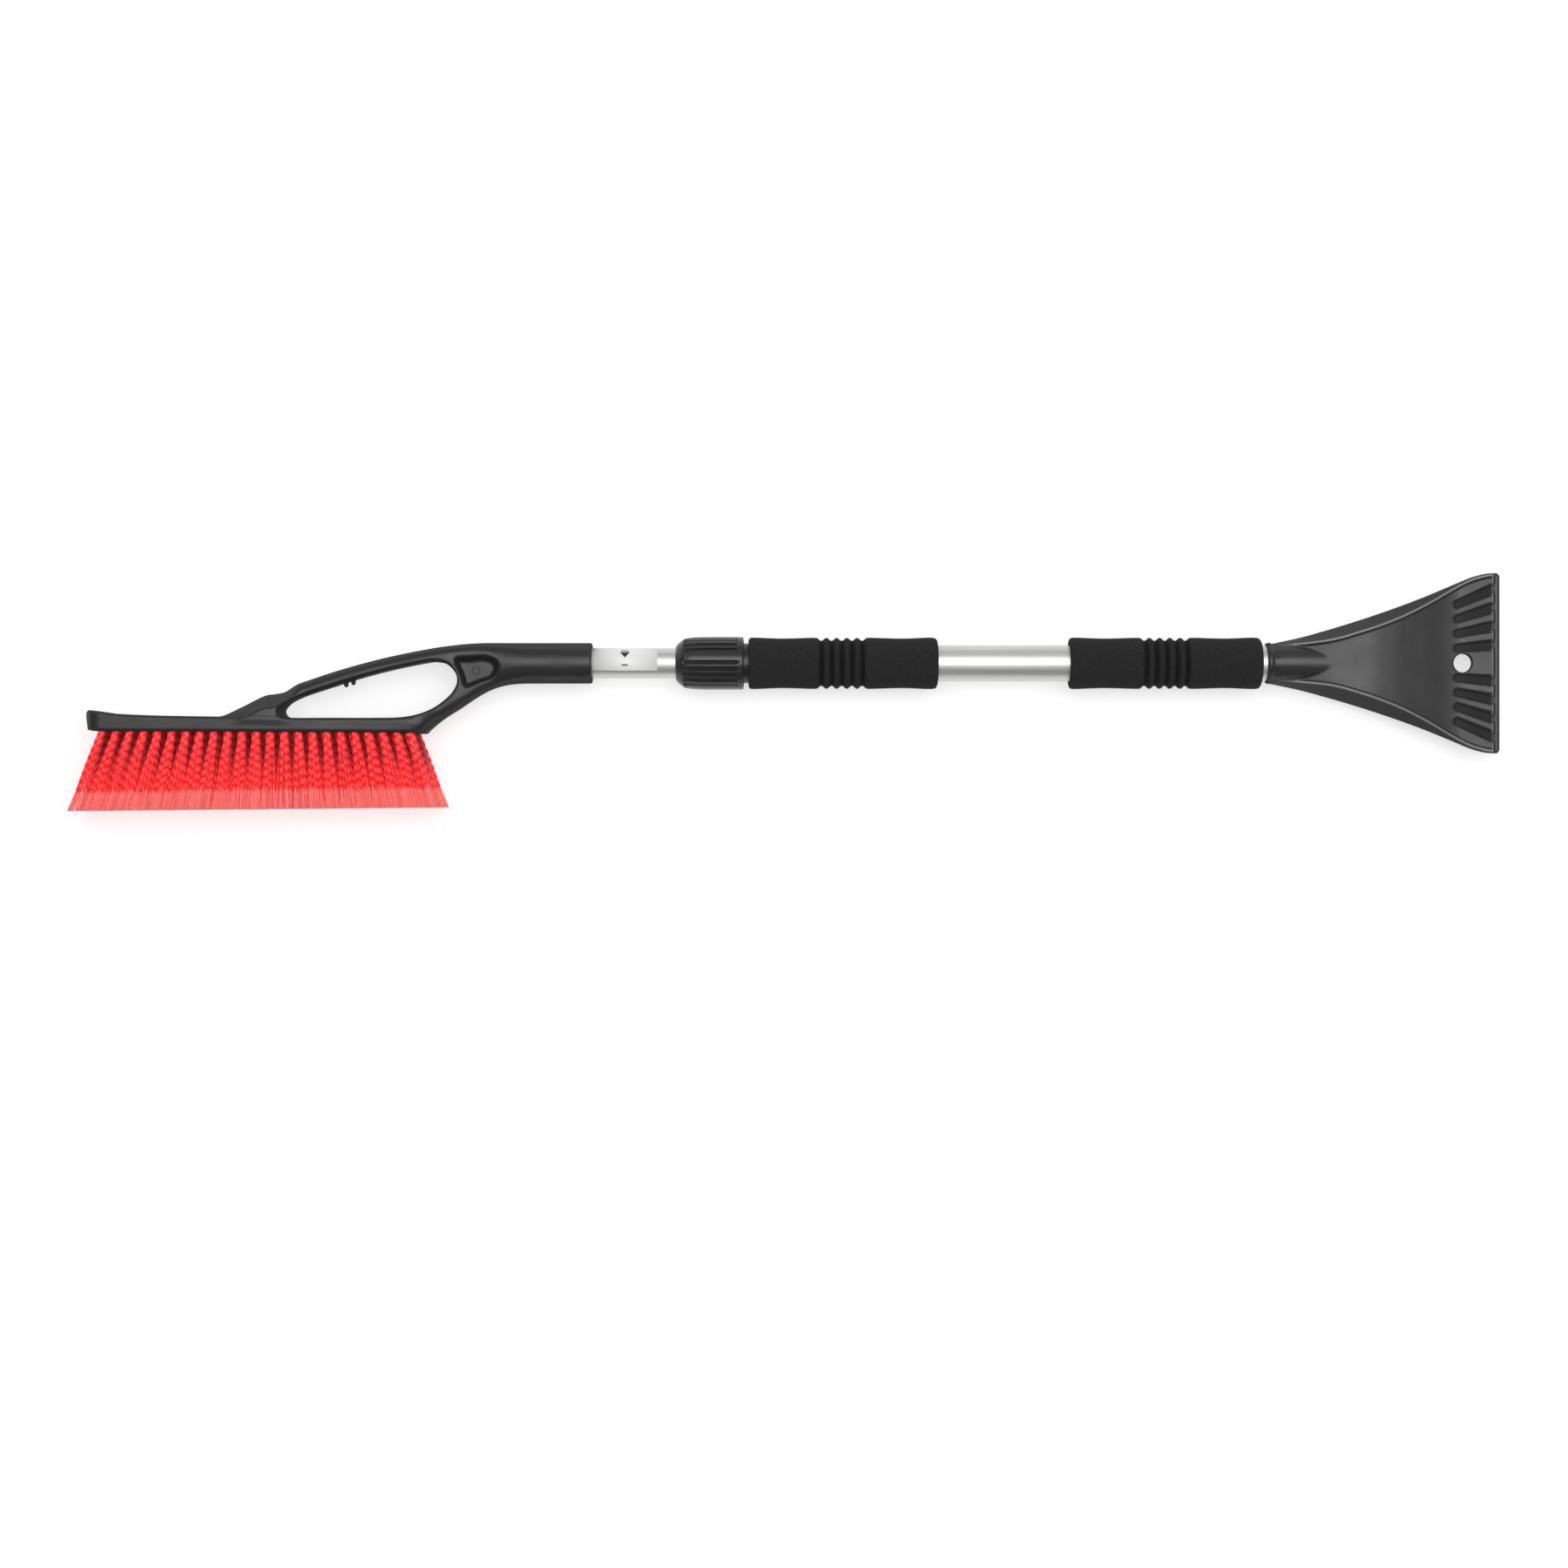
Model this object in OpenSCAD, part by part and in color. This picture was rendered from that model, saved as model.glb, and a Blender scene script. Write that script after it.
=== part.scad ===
// Telescopic snow brush with an ice scraper on the other end of the handle.
// The tool lies on its side: +X runs along the handle to the scraper, the
// bristles point to -Y, and +Z is up from the surface it lies on. Each
// module is drawn about the handle's axis, and on_axis() lifts it into place.

/* [Handle] */
// Outer diameter of the outer tube
outer_tube_d = 22; // [20:0.5:23]
// Outer diameter of the inner tube
inner_tube_d = 18.2; // [16:0.1:18.4]
// Wall thickness of both tubes
tube_wall = 1; // [0.8:0.1:1.2]
// Distance from the middle of the tool to the scraper's edge
half_length = 435; // [435:1:445]
// Greatest pull-out of the inner tube
extension = 240; // [100:10:240]

/* [Grips] */
// Diameter of the foam grips over their ends and ribs
foam_d = 31.4; // [30:0.2:34]
// Diameter of the foam grips between the ribs and the ends
foam_waist_d = 30.2; // [28:0.2:31]
// Diameter at the bottom of the foam's grooves
foam_groove_d = 27.4; // [26:0.2:28]
// Distance from one foam groove to the next
foam_groove_pitch = 6.2; // [5.6:0.1:6.5]
// Number of foam grooves on each grip
foam_grooves = 5; // [3:1:7]

/* [Locking collar] */
// Outer diameter of the locking collar
collar_d = 32; // [31:0.5:34]
// Length of the locking collar
collar_len = 41.2; // [40:0.1:41.4]
// Slots round the collar, before the smooth pads are left out
collar_slots = 24; // [12:4:24]
// Slots from one smooth pad to the next
slots_per_pad = 6; // [3:1:8]

/* [Brush] */
// Half the width of the brush block
block_half_w = 17; // [16:0.5:18]
// Number of rows of tufts
tuft_rows = 4; // [4:1:4]
// Tufts in each row
tufts = 23; // [15:1:24]
// Distance between tufts in a row
tuft_pitch = 8.4; // [8:0.1:8.6]
// Distance between the rows
row_pitch = 7.5; // [7:0.1:8]
// Diameter of a tuft at its root
tuft_d = 4; // [3:0.1:4.5]
// Height of the bristle tips below the handle's axis
bristle_reach = 89.8; // [80:0.2:95]
// Half the spread of the bristle tips across the brush
bristle_half_spread = 19; // [17.5:0.5:22]

/* [Scraper] */
// Half the width of the scraper's edge
blade_half_w = 54.8; // [50:0.2:56]
// Thickness of the blade under its ribs
rib_top_z = 5; // [4:0.5:6]
// Thickness of the bare strip along the edge
strip_top_z = 2.4; // [2:0.1:3]
// Diameter of the hang hole
hang_hole_d = 11.3; // [8:0.1:11.3]
// Number of grooves on each side of the hang hole
blade_grooves = 4; // [2:1:4]

/* [Hidden] */

$fn = 64;
outer_r = outer_tube_d / 2;
inner_r = inner_tube_d / 2;
// Where the handle's axis lies above the surface and beside the middle
axis_z = bristle_half_spread;
axis_y = (bristle_reach - blade_half_w) / 2;
slip = 0.05;

// Stations along the handle
outer_tube_x = [-48, 316];
socket_end_x = -116.6;
label_x = [-116.4, -76.7];
collar_x = -65.7;
neck_x = -21.7;
front_foam_x = [-21.6, 93.5];
rear_foam_x = [173.3, 290];
front_groove_x = 22.2;
rear_groove_x = 219;
// The guide bush, which stops at stop_x when the inner tube is pulled right out
stop_x = 10;
bush_len = 18;
bush_x = [stop_x + extension, stop_x + extension + bush_len];
inner_tube_x = [-172, bush_x[1]];

// Locking collar and what it turns on
thread_r = 13;
neck_r = 12.1;
clamp_r = 12.6;
clamp_gap = 0.4;
collar_wall_gap = 0.3;
slot_r = 0.95;
flange_len = 3.2;

// Brush block
block_top_y = -32.6;
block_bottom_y = -42.3;
first_tuft_x = -411;
hole_depth = 7;
bow_half_w = 9;
root_half_w = 11;
socket_r = 12.35;
blind_wall_x = -174;
tip_left_x = -435;
tip_right_x = -205;
row_left_x = first_tuft_x - tuft_d / 2;
row_right_x = first_tuft_x + (tufts - 1) * tuft_pitch + tuft_d / 2;

// Scraper
ring_x = 294;
ring_minor_r = 2.3;
cup_r = 11.9;
cup_end_x = 333;
crease_x = 407.2;
hang_hole_x = 412;
strip_x = 431;
tray_wall = 2.8;
panel_t = 3;
groove_left_pitch = 8.9;
groove_right_pitch = 11.4;

// A smooth curve through a list of points, as a Catmull-Rom spline
function spline_point(a, b, c, d, t) =
    0.5 * (2 * b + (c - a) * t + (2 * a - 5 * b + 4 * c - d) * t * t
           + (3 * b - a - 3 * c + d) * t * t * t);
function loop_spline(p, steps = 5) =
    let (n = len(p))
    [for (i = [0:n - 1]) for (s = [0:steps - 1])
        spline_point(p[(i + n - 1) % n], p[i], p[(i + 1) % n], p[(i + 2) % n], s / steps)];
function open_spline(p, steps = 5) =
    let (n = len(p))
    concat([for (i = [0:n - 2]) for (s = [0:steps - 1])
        spline_point(p[max(i - 1, 0)], p[i], p[i + 1], p[min(i + 2, n - 1)], s / steps)],
        [p[n - 1]]);

module on_axis() { translate([0, axis_y, axis_z]) children(); }
module along_x(from) { translate([from, 0, 0]) rotate([0, 90, 0]) children(); }
module rod(x, r) { along_x(x[0]) cylinder(r = r, h = x[1] - x[0]); }
module tube(x, r, bore_r) {
    difference() {
        rod(x, r);
        rod([x[0] - 1, x[1] + 1], bore_r);
    }
}
// A profile of [distance along the handle, radius] turned round the axis
module turned(profile) {
    rotate([0, 90, 0]) rotate([0, 0, 90])
        rotate_extrude() polygon([for (p = profile) [p[1], p[0]]]);
}
// An outline in X and Z, drawn out across Y
module across_y(outline, half) {
    rotate([90, 0, 0]) translate([0, 0, -half]) linear_extrude(2 * half) polygon(outline);
}

module outer_tube() {
    color("#c9c9c6") on_axis() difference() {
        tube(outer_tube_x, outer_r, outer_r - tube_wall);
        translate([306, 0, -outer_r]) cylinder(d = 3.6, h = 6, center = true);
    }
}

// Foam sleeve with rounded ends and a band of grooves at groove_x
module foam_grip(x, groove_x) {
    shoulder = 12;
    band = foam_grooves * foam_groove_pitch;
    outline = open_spline([
        [x[0], foam_d / 2 - 2.4], [x[0] + 0.5, foam_d / 2 - 0.8], [x[0] + 1.8, foam_d / 2 - 0.1],
        [x[0] + shoulder, foam_d / 2 - 0.1],
        [(x[0] + groove_x) / 2, foam_waist_d / 2],
        [groove_x - foam_groove_pitch, foam_d / 2 - 0.1]], 3);
    ribs = [for (i = [0:foam_grooves - 1]) for (s = [-0.5, -0.26, 0, 0.26])
        [groove_x + (i + 0.5 + s) * foam_groove_pitch,
         (abs(s) < 0.3 ? foam_groove_d : foam_d) / 2 + (abs(s) == 0.26 ? 0.6 : 0)]];
    rest = open_spline([
        [groove_x + band, foam_d / 2], [groove_x + band + 4, foam_d / 2 - 0.1],
        [(x[1] + groove_x + band) / 2, foam_waist_d / 2],
        [x[1] - shoulder, foam_d / 2 - 0.1],
        [x[1] - 2.6, foam_d / 2 - 0.2], [x[1] - 0.7, foam_d / 2 - 2.2], [x[1], outer_r + 0.8]], 3);
    turned(concat([[x[0], outer_r + slip]], outline, ribs, rest, [[x[1], outer_r + slip]]));
}
module foam_grip_front() { color("#222222") on_axis() foam_grip(front_foam_x, front_groove_x); }
module foam_grip_rear() { color("#222222") on_axis() foam_grip(rear_foam_x, rear_groove_x); }

// Sleeve pressed over the end of the outer tube, with the collar's thread
module collet_sleeve() {
    sleeve_x = [-50.5, neck_x - 0.1];
    color("#2e2e2e") on_axis() difference() {
        union() {
            rod(sleeve_x, neck_r);
            rod([sleeve_x[0], -30], thread_r);
        }
        rod([outer_tube_x[0], 0], outer_r + slip);
        rod([sleeve_x[0] - 1, outer_tube_x[0] + 1], inner_r + 0.3);
    }
}

// Split ring that the collar presses on the inner tube
module clamp_ring() {
    x = [-62.2, -50.5 - clamp_gap];
    color("#8a8a86") on_axis() difference() {
        turned([[x[0], inner_r + slip], [x[0], clamp_r - 1.4], [x[0] + 3, clamp_r - 0.2],
                [x[1], clamp_r - 0.2], [x[1], inner_r + slip]]);
        translate([x[0] - 1, -30, -1]) cube([x[1] - x[0] + 2, 30, 2]);
    }
}

// Threaded collar that locks the inner tube, slotted for a firm hold
module lock_collar() {
    x = [collar_x, collar_x + collar_len];
    r = collar_d / 2;
    step = 360 / collar_slots;
    outline = concat([[x[0], inner_r + 0.4], [x[0], inner_r + 1]],
        open_spline([[x[0] + 0.1, inner_r + 1.6], [x[0] + 0.6, r - 5.4], [x[0] + 4.6, r - 1.4],
                     [x[0] + 9.5, r - 0.3], [x[0] + 16, r]]),
        [[x[1], r], [x[1], thread_r + collar_wall_gap]]);
    color("#333333") on_axis() difference() {
        turned(concat(outline, [[x[0] + 3.2, thread_r + collar_wall_gap],
                                [x[0] + 3.2, inner_r + 0.4]]));
        for (i = [0:collar_slots - 1])
            if (i % slots_per_pad != 1)
                rotate([-i * step, 0, 0])
                    translate([0, 0, r + 0.1]) rod([x[0] + 9, x[1] - flange_len], slot_r);
    }
}

// Bush on the inner tube that slides in the outer tube
module guide_bush() {
    color("#e2e2dc") on_axis() tube(bush_x, outer_r - tube_wall - slip, inner_r + slip);
}
module inner_tube() {
    color("#cfcfcc") on_axis() difference() {
        tube(inner_tube_x, inner_r, inner_r - tube_wall);
        translate([-140, 0, -inner_r]) cylinder(d = 3.6, h = 6, center = true);
    }
}
// Plug with a rim that keeps the bush on the inner tube
module inner_tube_cap() {
    color("#2e2e2e") on_axis() union() {
        rod([256, inner_tube_x[1] + 0.2], inner_r - tube_wall - slip);
        rod([inner_tube_x[1] + 0.1, inner_tube_x[1] + 2.4], outer_r - tube_wall - 0.4);
    }
}
// Printed film wrapped most of the way round the inner tube
module tube_label() {
    film_t = 0.15;
    color("#dcdcdc") on_axis() along_x(label_x[0])
        rotate([0, 0, 122]) rotate_extrude(angle = 255)
            translate([inner_r + 0.02, 0]) square([film_t, label_x[1] - label_x[0]]);
}
module tube_end_plug() {
    color("#2e2e2e") on_axis() union() {
        rod([298, outer_tube_x[1] + 0.3], outer_r - tube_wall - slip);
        rod([outer_tube_x[1] + 0.1, outer_tube_x[1] + 1.4], outer_r - 0.3);
    }
}

// Pan-head screw driven up from under the tool, its head at the height head_z
module pan_screw(x, head_z) {
    translate([x, 0, head_z]) {
        cylinder(d = 6, h = 1.6);
        cylinder(d = 3, h = 7);
    }
}
module scraper_screw() {
    color("#9a9a9a") on_axis() pan_screw(306, -cup_r - 1.7);
}
module brush_screw() {
    color("#9a9a9a") on_axis() pan_screw(-140, -socket_r - 1.7);
}

// Outline of the grip bow, from the ramp on the block to the socket
bow_top = [[-352, -37], [-341, -32.8], [-332.6, -28.2], [-320, -21.6], [-313, -19.1],
           [-305, -18], [-296, -13], [-282, -8.2], [-256.3, -0.4], [-230.8, 5.6],
           [-205.4, 9.9], [-180, 12.3], [-150, 12.3]];
bow_bottom = [[-150, -12.4], [-160.9, -14], [-173.6, -17.8], [-186.3, -22.5],
              [-199, -28.9], [-209, -35.4], [-218, -42.2]];
window = [[-305, -28.5], [-300.5, -24], [-281.7, -16.7], [-256.3, -8.7], [-230.8, -2.4],
          [-214, 0.8], [-204.5, -0.6], [-198.2, -9], [-200.3, -17.4], [-211.7, -26.8],
          [-226, -32.3], [-243, -33.4], [-275, -33.4], [-301, -33.4]];
block_side = concat(open_spline([[-422.9, -31], [-420.5, -28.7], [-413, -29.8], [-402.5, -31],
                                 [-377, -32.1], [-341, block_top_y]], 4),
                    [[-228, block_top_y], [-218, block_bottom_y + 2], [-218, block_bottom_y],
                     [-421, block_bottom_y + 1.4], [-422.9, block_bottom_y + 3]]);
pocket = [[-199.5, 0.5], [-197, 4], [-181, 4.4], [-172.6, -2.9], [-176, -10],
          [-191.5, -15.6], [-196, -11]];

module brush_head() {
    color("#3a3a3a") on_axis() difference() {
        union() {
            translate([0, 0, -block_half_w]) linear_extrude(2 * block_half_w)
                polygon(block_side);
            translate([0, 0, -bow_half_w]) linear_extrude(2 * bow_half_w) difference() {
                polygon(concat([[-352, -40]], open_spline(bow_top, 4), open_spline(bow_bottom, 4)));
                polygon(loop_spline(window, 4));
            }
            intersection() {
                translate([0, 0, -root_half_w]) linear_extrude(2 * root_half_w) difference() {
                    polygon(concat(open_spline(bow_top, 4), open_spline(bow_bottom, 4)));
                    polygon(loop_spline(window, 4));
                }
                translate([-212, -50, -50]) cube([62, 100, 100]);
            }
            rod([-180, socket_end_x], socket_r);
            // Two moulded pegs under the bow
            for (p = [[-266.3, -13.6], [-261.7, -12.1]])
                translate([p[0], p[1], 0]) rotate([-90, 0, 0]) cylinder(d = 2.9, h = 5);
        }
        rod([blind_wall_x, 0], inner_r + slip);
        translate([0, 0, root_half_w - 3.5]) linear_extrude(10)
            polygon(loop_spline(pocket, 4));
        translate([-140, 0, -socket_r - 5]) cylinder(d = 3.6, h = 12);
        for (r = [0:tuft_rows - 1]) for (i = [0:tufts - 1])
            translate([first_tuft_x + i * tuft_pitch, block_bottom_y - 1, row_z(r)])
                rotate([-90, 0, 0]) cylinder(d = tuft_d + 0.2, h = hole_depth + 1);
    }
}

function row_z(r) = (r - (tuft_rows - 1) / 2) * row_pitch;
// Where a row's tips end up across the brush, and how thick the row is there
function tip_z(r) = row_z(r) / (row_pitch * (tuft_rows - 1) / 2) * (bristle_half_spread - 4.5);

// One row of bristles: a fan of stiff fibres, with a root in each hole
module bristle_row(r) {
    root_y = block_bottom_y - 0.2;
    tip_half = 4.5;
    color("#e0252b") on_axis() union() {
        intersection() {
            translate([0, 0, -40]) linear_extrude(80)
                polygon([[row_left_x, root_y], [row_right_x, root_y],
                         [tip_right_x, -bristle_reach + 2.6], [tip_right_x - 12, -bristle_reach + 1.2],
                         [tip_left_x + 9, -bristle_reach], [tip_left_x, -bristle_reach + 1.6]]);
            rotate([0, 90, 0]) translate([0, 0, -500]) linear_extrude(400)
                polygon([[-row_z(r) - tuft_d / 2, root_y], [-row_z(r) + tuft_d / 2, root_y],
                         [-tip_z(r) + tip_half, -bristle_reach],
                         [-tip_z(r) - tip_half, -bristle_reach]]);
        }
        for (i = [0:tufts - 1])
            translate([first_tuft_x + i * tuft_pitch, root_y - 2, row_z(r)])
                rotate([-90, 0, 0]) cylinder(d = tuft_d - 0.4, h = hole_depth + 1.4);
    }
}
module bristle_row_1() { bristle_row(0); }
module bristle_row_2() { bristle_row(1); }
module bristle_row_3() { bristle_row(2); }
module bristle_row_4() { bristle_row(3); }

// One row of the flat steel anchors that hold the folded tufts in their holes
module anchor_row(r) {
    size = [5, 1.8, 0.4];
    color("#b8b8b8") on_axis()
        for (i = [0:tufts - 1])
            translate([first_tuft_x + i * tuft_pitch, block_bottom_y + hole_depth - 1.6, row_z(r)])
                cube(size, center = true);
}
module anchor_row_1() { anchor_row(0); }
module anchor_row_2() { anchor_row(1); }
module anchor_row_3() { anchor_row(2); }
module anchor_row_4() { anchor_row(3); }

// Half the scraper's width at points along it, and its side outlines
scraper_edge = [[296, 12], [304.5, 13.8], [317.2, 16.7], [329.9, 20.4], [342.6, 24],
                [355.4, 28.2], [368.1, 32.6], [390.3, 40.9], [403.1, 46.4], [415.8, 51.7],
                [422.5, 54], [428.5, blade_half_w]];
panel_top = [[294, 3], [306, 5], [320, 9], [332.3, 11.8], [350, 13.5], [366, 12],
             [386, 8.6], [401, 5.8], [crease_x, rib_top_z]];
tray_bottom = [[crease_x - 4, 0], [380, -4], [350, -8], [320, -11], [294, -11.5]];
function mirrored(p) = concat(p, [for (i = [len(p) - 1:-1:0]) [p[i][0], -p[i][1]]]);

module scraper_solid(inset, top, bottom) {
    corner = [[432.2, blade_half_w - inset], [434, blade_half_w - 0.7 - inset],
              [half_length, blade_half_w - 2.5 - inset]];
    edge = concat(open_spline([for (p = scraper_edge) [p[0], p[1] - inset]], 3), corner);
    intersection() {
        translate([0, 0, -30]) linear_extrude(60) polygon(mirrored(edge));
        across_y(concat(top, bottom), 60);
    }
}
// A groove in the blade that opens towards the edge, number k from the middle
module blade_groove(k) {
    left = [crease_x + 4.2, groove_left_pitch * k];
    right = [half_length + 1, groove_right_pitch * k];
    translate([0, 0, strip_top_z]) linear_extrude(10) {
        translate(left) circle(d = 4.6);
        polygon([left - [0.5, 2.3 * sign(k)], left + [-0.5, 2.3 * sign(k)],
                 right + [0, 3.6 * sign(k)], right - [0, 2.6 * sign(k)]]);
    }
}
module scraper_head() {
    top = concat(open_spline(panel_top, 4),
                 [[strip_x, rib_top_z], [strip_x + 0.4, strip_top_z], [half_length, strip_top_z - 0.4]]);
    bottom = concat([[half_length, 0.4], [half_length - 2, 0]], open_spline(tray_bottom, 4));
    color("#3a3a3a") on_axis() difference() {
        union() {
            difference() {
                scraper_solid(0, top, bottom);
                // The hollow underside, with two stiffening ribs left in it
                difference() {
                    scraper_solid(tray_wall,
                        [for (p = open_spline(panel_top, 4)) if (p[0] > cup_end_x && p[0] < 402)
                            [p[0], p[1] - panel_t]],
                        [[402, -30], [cup_end_x, -30]]);
                    for (side = [-1, 1])
                        translate([0, side * 12, 0]) cube([900, 2, 60], center = true);
                }
            }
            rod([ring_x, cup_end_x], cup_r);
            turned([[ring_x, 10.9], for (a = [180:-15:0])
                [ring_x + ring_minor_r * cos(a), 10.9 + ring_minor_r * 0.7 * sin(a)]]);
        }
        rod([ring_x - 10, outer_tube_x[1] + 1.6], outer_r + slip);
        rod([ring_x, cup_end_x - panel_t], outer_r - 2);
        translate([hang_hole_x, 0, -5]) cylinder(d = hang_hole_d, h = 20);
        translate([306, 0, -cup_r - 5]) cylinder(d = 3.6, h = 12);
        for (k = [1:blade_grooves]) {
            blade_groove(k);
            blade_groove(-k);
        }
    }
}

outer_tube();
foam_grip_front();
foam_grip_rear();
collet_sleeve();
scraper_head();
tube_end_plug();
scraper_screw();
clamp_ring();
lock_collar();
guide_bush();
inner_tube();
inner_tube_cap();
tube_label();
brush_head();
brush_screw();
bristle_row_1();
bristle_row_2();
bristle_row_3();
bristle_row_4();
anchor_row_1();
anchor_row_2();
anchor_row_3();
anchor_row_4();
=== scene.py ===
"""Telescopic snow brush with an ice scraper: its visual parts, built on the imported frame.

Shapes are worked out in millimetres about the handle's axis: x runs along the handle from the
middle of the tool to the scraper, y away from the bristles, and z up from the surface.
"""
from functools import lru_cache
import itertools
import math
from types import SimpleNamespace
import bpy
import numpy as np
from bpy.props import FloatProperty, FloatVectorProperty, IntProperty, PointerProperty
from bpy.types import Operator, Panel, PropertyGroup
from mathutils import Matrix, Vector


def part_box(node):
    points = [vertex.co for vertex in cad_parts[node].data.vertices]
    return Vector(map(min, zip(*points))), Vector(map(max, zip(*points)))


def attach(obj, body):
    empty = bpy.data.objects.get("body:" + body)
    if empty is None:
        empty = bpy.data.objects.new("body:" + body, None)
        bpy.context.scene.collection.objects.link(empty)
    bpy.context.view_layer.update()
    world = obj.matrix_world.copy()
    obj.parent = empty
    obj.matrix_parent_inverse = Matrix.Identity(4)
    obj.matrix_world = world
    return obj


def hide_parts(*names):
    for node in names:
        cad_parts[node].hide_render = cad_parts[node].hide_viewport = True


bl_info = {
    "name": "Snow Brush Builder",
    "version": (1, 0, 0),
    "blender": (4, 5, 0),
    "location": "3D View > Sidebar > Snow Brush",
    "description": "Builds the visual parts of a telescopic snow brush with an ice scraper",
    "category": "Object",
}

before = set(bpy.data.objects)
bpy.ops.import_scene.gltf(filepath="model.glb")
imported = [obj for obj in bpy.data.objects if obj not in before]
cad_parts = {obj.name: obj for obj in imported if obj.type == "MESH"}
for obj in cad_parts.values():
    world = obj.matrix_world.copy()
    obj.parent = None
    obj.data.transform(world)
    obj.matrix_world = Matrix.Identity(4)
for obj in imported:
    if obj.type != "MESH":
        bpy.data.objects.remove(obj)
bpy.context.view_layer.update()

MM = 0.001


def node_box(node):
    """Lowest and highest corner of a CAD node, in the row frame, in millimetres."""
    low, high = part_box(node)
    return np.array(low) / MM, np.array(high) / MM


_tube_low, _tube_high = node_box("outer_tube")
AXIS_Y, AXIS_Z = (_tube_low[1:] + _tube_high[1:]) / 2
BRISTLE_NODES = sorted(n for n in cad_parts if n.startswith("bristle_row_"))


def span(node):
    """Where a CAD node starts and ends along the handle, in millimetres."""
    low, high = node_box(node)
    return float(low[0]), float(high[0])


# ---------------------------------------------------------------- colours and settings

def linear(hex_colour):
    """Linear RGB of an sRGB hex colour."""
    srgb = np.array([int(hex_colour[i:i + 2], 16) for i in (1, 3, 5)]) / 255
    return tuple(float(v) for v in np.where(srgb <= 0.04045, srgb / 12.92, ((srgb + 0.055) / 1.055) ** 2.4))


def colour_prop(name, description, hex_colour):
    """A colour that the panel shows."""
    return FloatVectorProperty(name=name, description=description, default=linear(hex_colour),
                               size=3, min=0, max=1, subtype="COLOR")


def length_prop(name, description, millimetres):
    """A length that the panel shows."""
    return FloatProperty(name=name, description=description, default=millimetres * MM, min=0,
                         precision=5, unit="LENGTH")


class SnowBrushFinishes(PropertyGroup):
    plastic: colour_prop("Moulded plastic", "Brush head and sleeve", "#1a1a1a")
    scraper: colour_prop("Scraper plastic", "Ice scraper", "#222222")
    foam: colour_prop("Foam", "Grips", "#232323")
    aluminium: colour_prop("Aluminium", "Both tubes", "#d4d3d1")
    fibre: colour_prop("Bristle", "Body of the bristles", "#f00a12")
    # The crest colour is a painted highlight on the crests of the crimp
    fibre_crest_highlight: colour_prop("Bristle crests", "Crests of the crimp", "#ff686c")
    fibre_tip: colour_prop("Bristle tips", "Split ends of the bristles", "#f4827e")
    film: colour_prop("Film", "Printed film on the inner tube", "#e4e4e3")
    ink: colour_prop("Ink", "Symbols on the film", "#1b1b1b")
    nylon: colour_prop("Nylon", "Clamp ring and guide bush", "#d9d6cc")
    zinc: colour_prop("Zinc", "Screws and bristle anchors", "#b4b6b8")


class SnowBrushSizes(PropertyGroup):
    head_step: length_prop("Head detail", "Grid spacing of the brush head's surface", 0.7)
    scraper_step: length_prop("Scraper detail", "Grid spacing of the scraper's surface", 0.56)
    bow_half_width: length_prop("Bow half width", "Half the width of the grip bow", 9.5)
    root_half_width: length_prop("Root half width", "Half the width where the bow meets the socket", 11.0)
    block_half_width: length_prop("Block half width", "Half the width of the brush block", 17.0)
    socket_radius: length_prop("Socket radius", "Outer radius of the brush socket", 12.35)
    rim_recess: length_prop("Rim recess", "How far the scraper's panel lies below its rim", 0.9)
    slot_floor: length_prop("Slot floor", "Radius at the bottom of the collar's slots", 14.3)
    fibres: IntProperty(name="Fibres", description="Fibres in each tuft", default=32, min=8, max=40)
    fibre_radius: length_prop("Fibre radius", "Radius of one bristle", 0.33)
    crimp_period: length_prop("Crimp", "Length of one wave of the crimped bristles", 5.0)
    crimp_depth: length_prop("Crimp depth", "How far the bristles swing to each side", 0.45)


def sizes():
    """The sizes that the panel shows, with every length in millimetres."""
    group = bpy.context.scene.snow_brush_sizes
    values = {key: getattr(group, key) for key in group.__annotations__}
    return SimpleNamespace(**{key: v / MM if isinstance(v, float) else v for key, v in values.items()})


class SnowBrushStage(PropertyGroup):
    camera_height: FloatProperty(name="Camera height", description="Above the handle's axis",
                                 default=1.7, unit="LENGTH")
    view_width: FloatProperty(name="View width", description="Seen at the handle's height",
                              default=0.954, unit="LENGTH")
    camera_drop: FloatProperty(name="Camera drop", description="Camera's offset towards the bristles",
                               default=0.0734, unit="LENGTH")
    floor_colour: colour_prop("Floor", "Pale studio floor", "#b4b4b4")


# ---------------------------------------------------------------- curves and fields

def spline(points, steps=8, closed=False):
    """Catmull-Rom curve through the points, with steps places from each point to the next."""
    p = np.asarray(points, float)
    p = np.vstack([p[-1:], p, p[:2]]) if closed else np.vstack([p[:1], p, p[-1:]])
    a, b, c, d = (q[:, None, :] for q in (p[:-3], p[1:-2], p[2:-1], p[3:]))
    t = np.linspace(0, 1, steps, endpoint=False)[None, :, None]
    curve = 0.5 * (2 * b + (c - a) * t + (2 * a - 5 * b + 4 * c - d) * t ** 2
                   + (3 * b - a - 3 * c + d) * t ** 3)
    curve = curve.reshape(-1, p.shape[1])
    return curve if closed else np.vstack([curve, p[-1:]])


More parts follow.
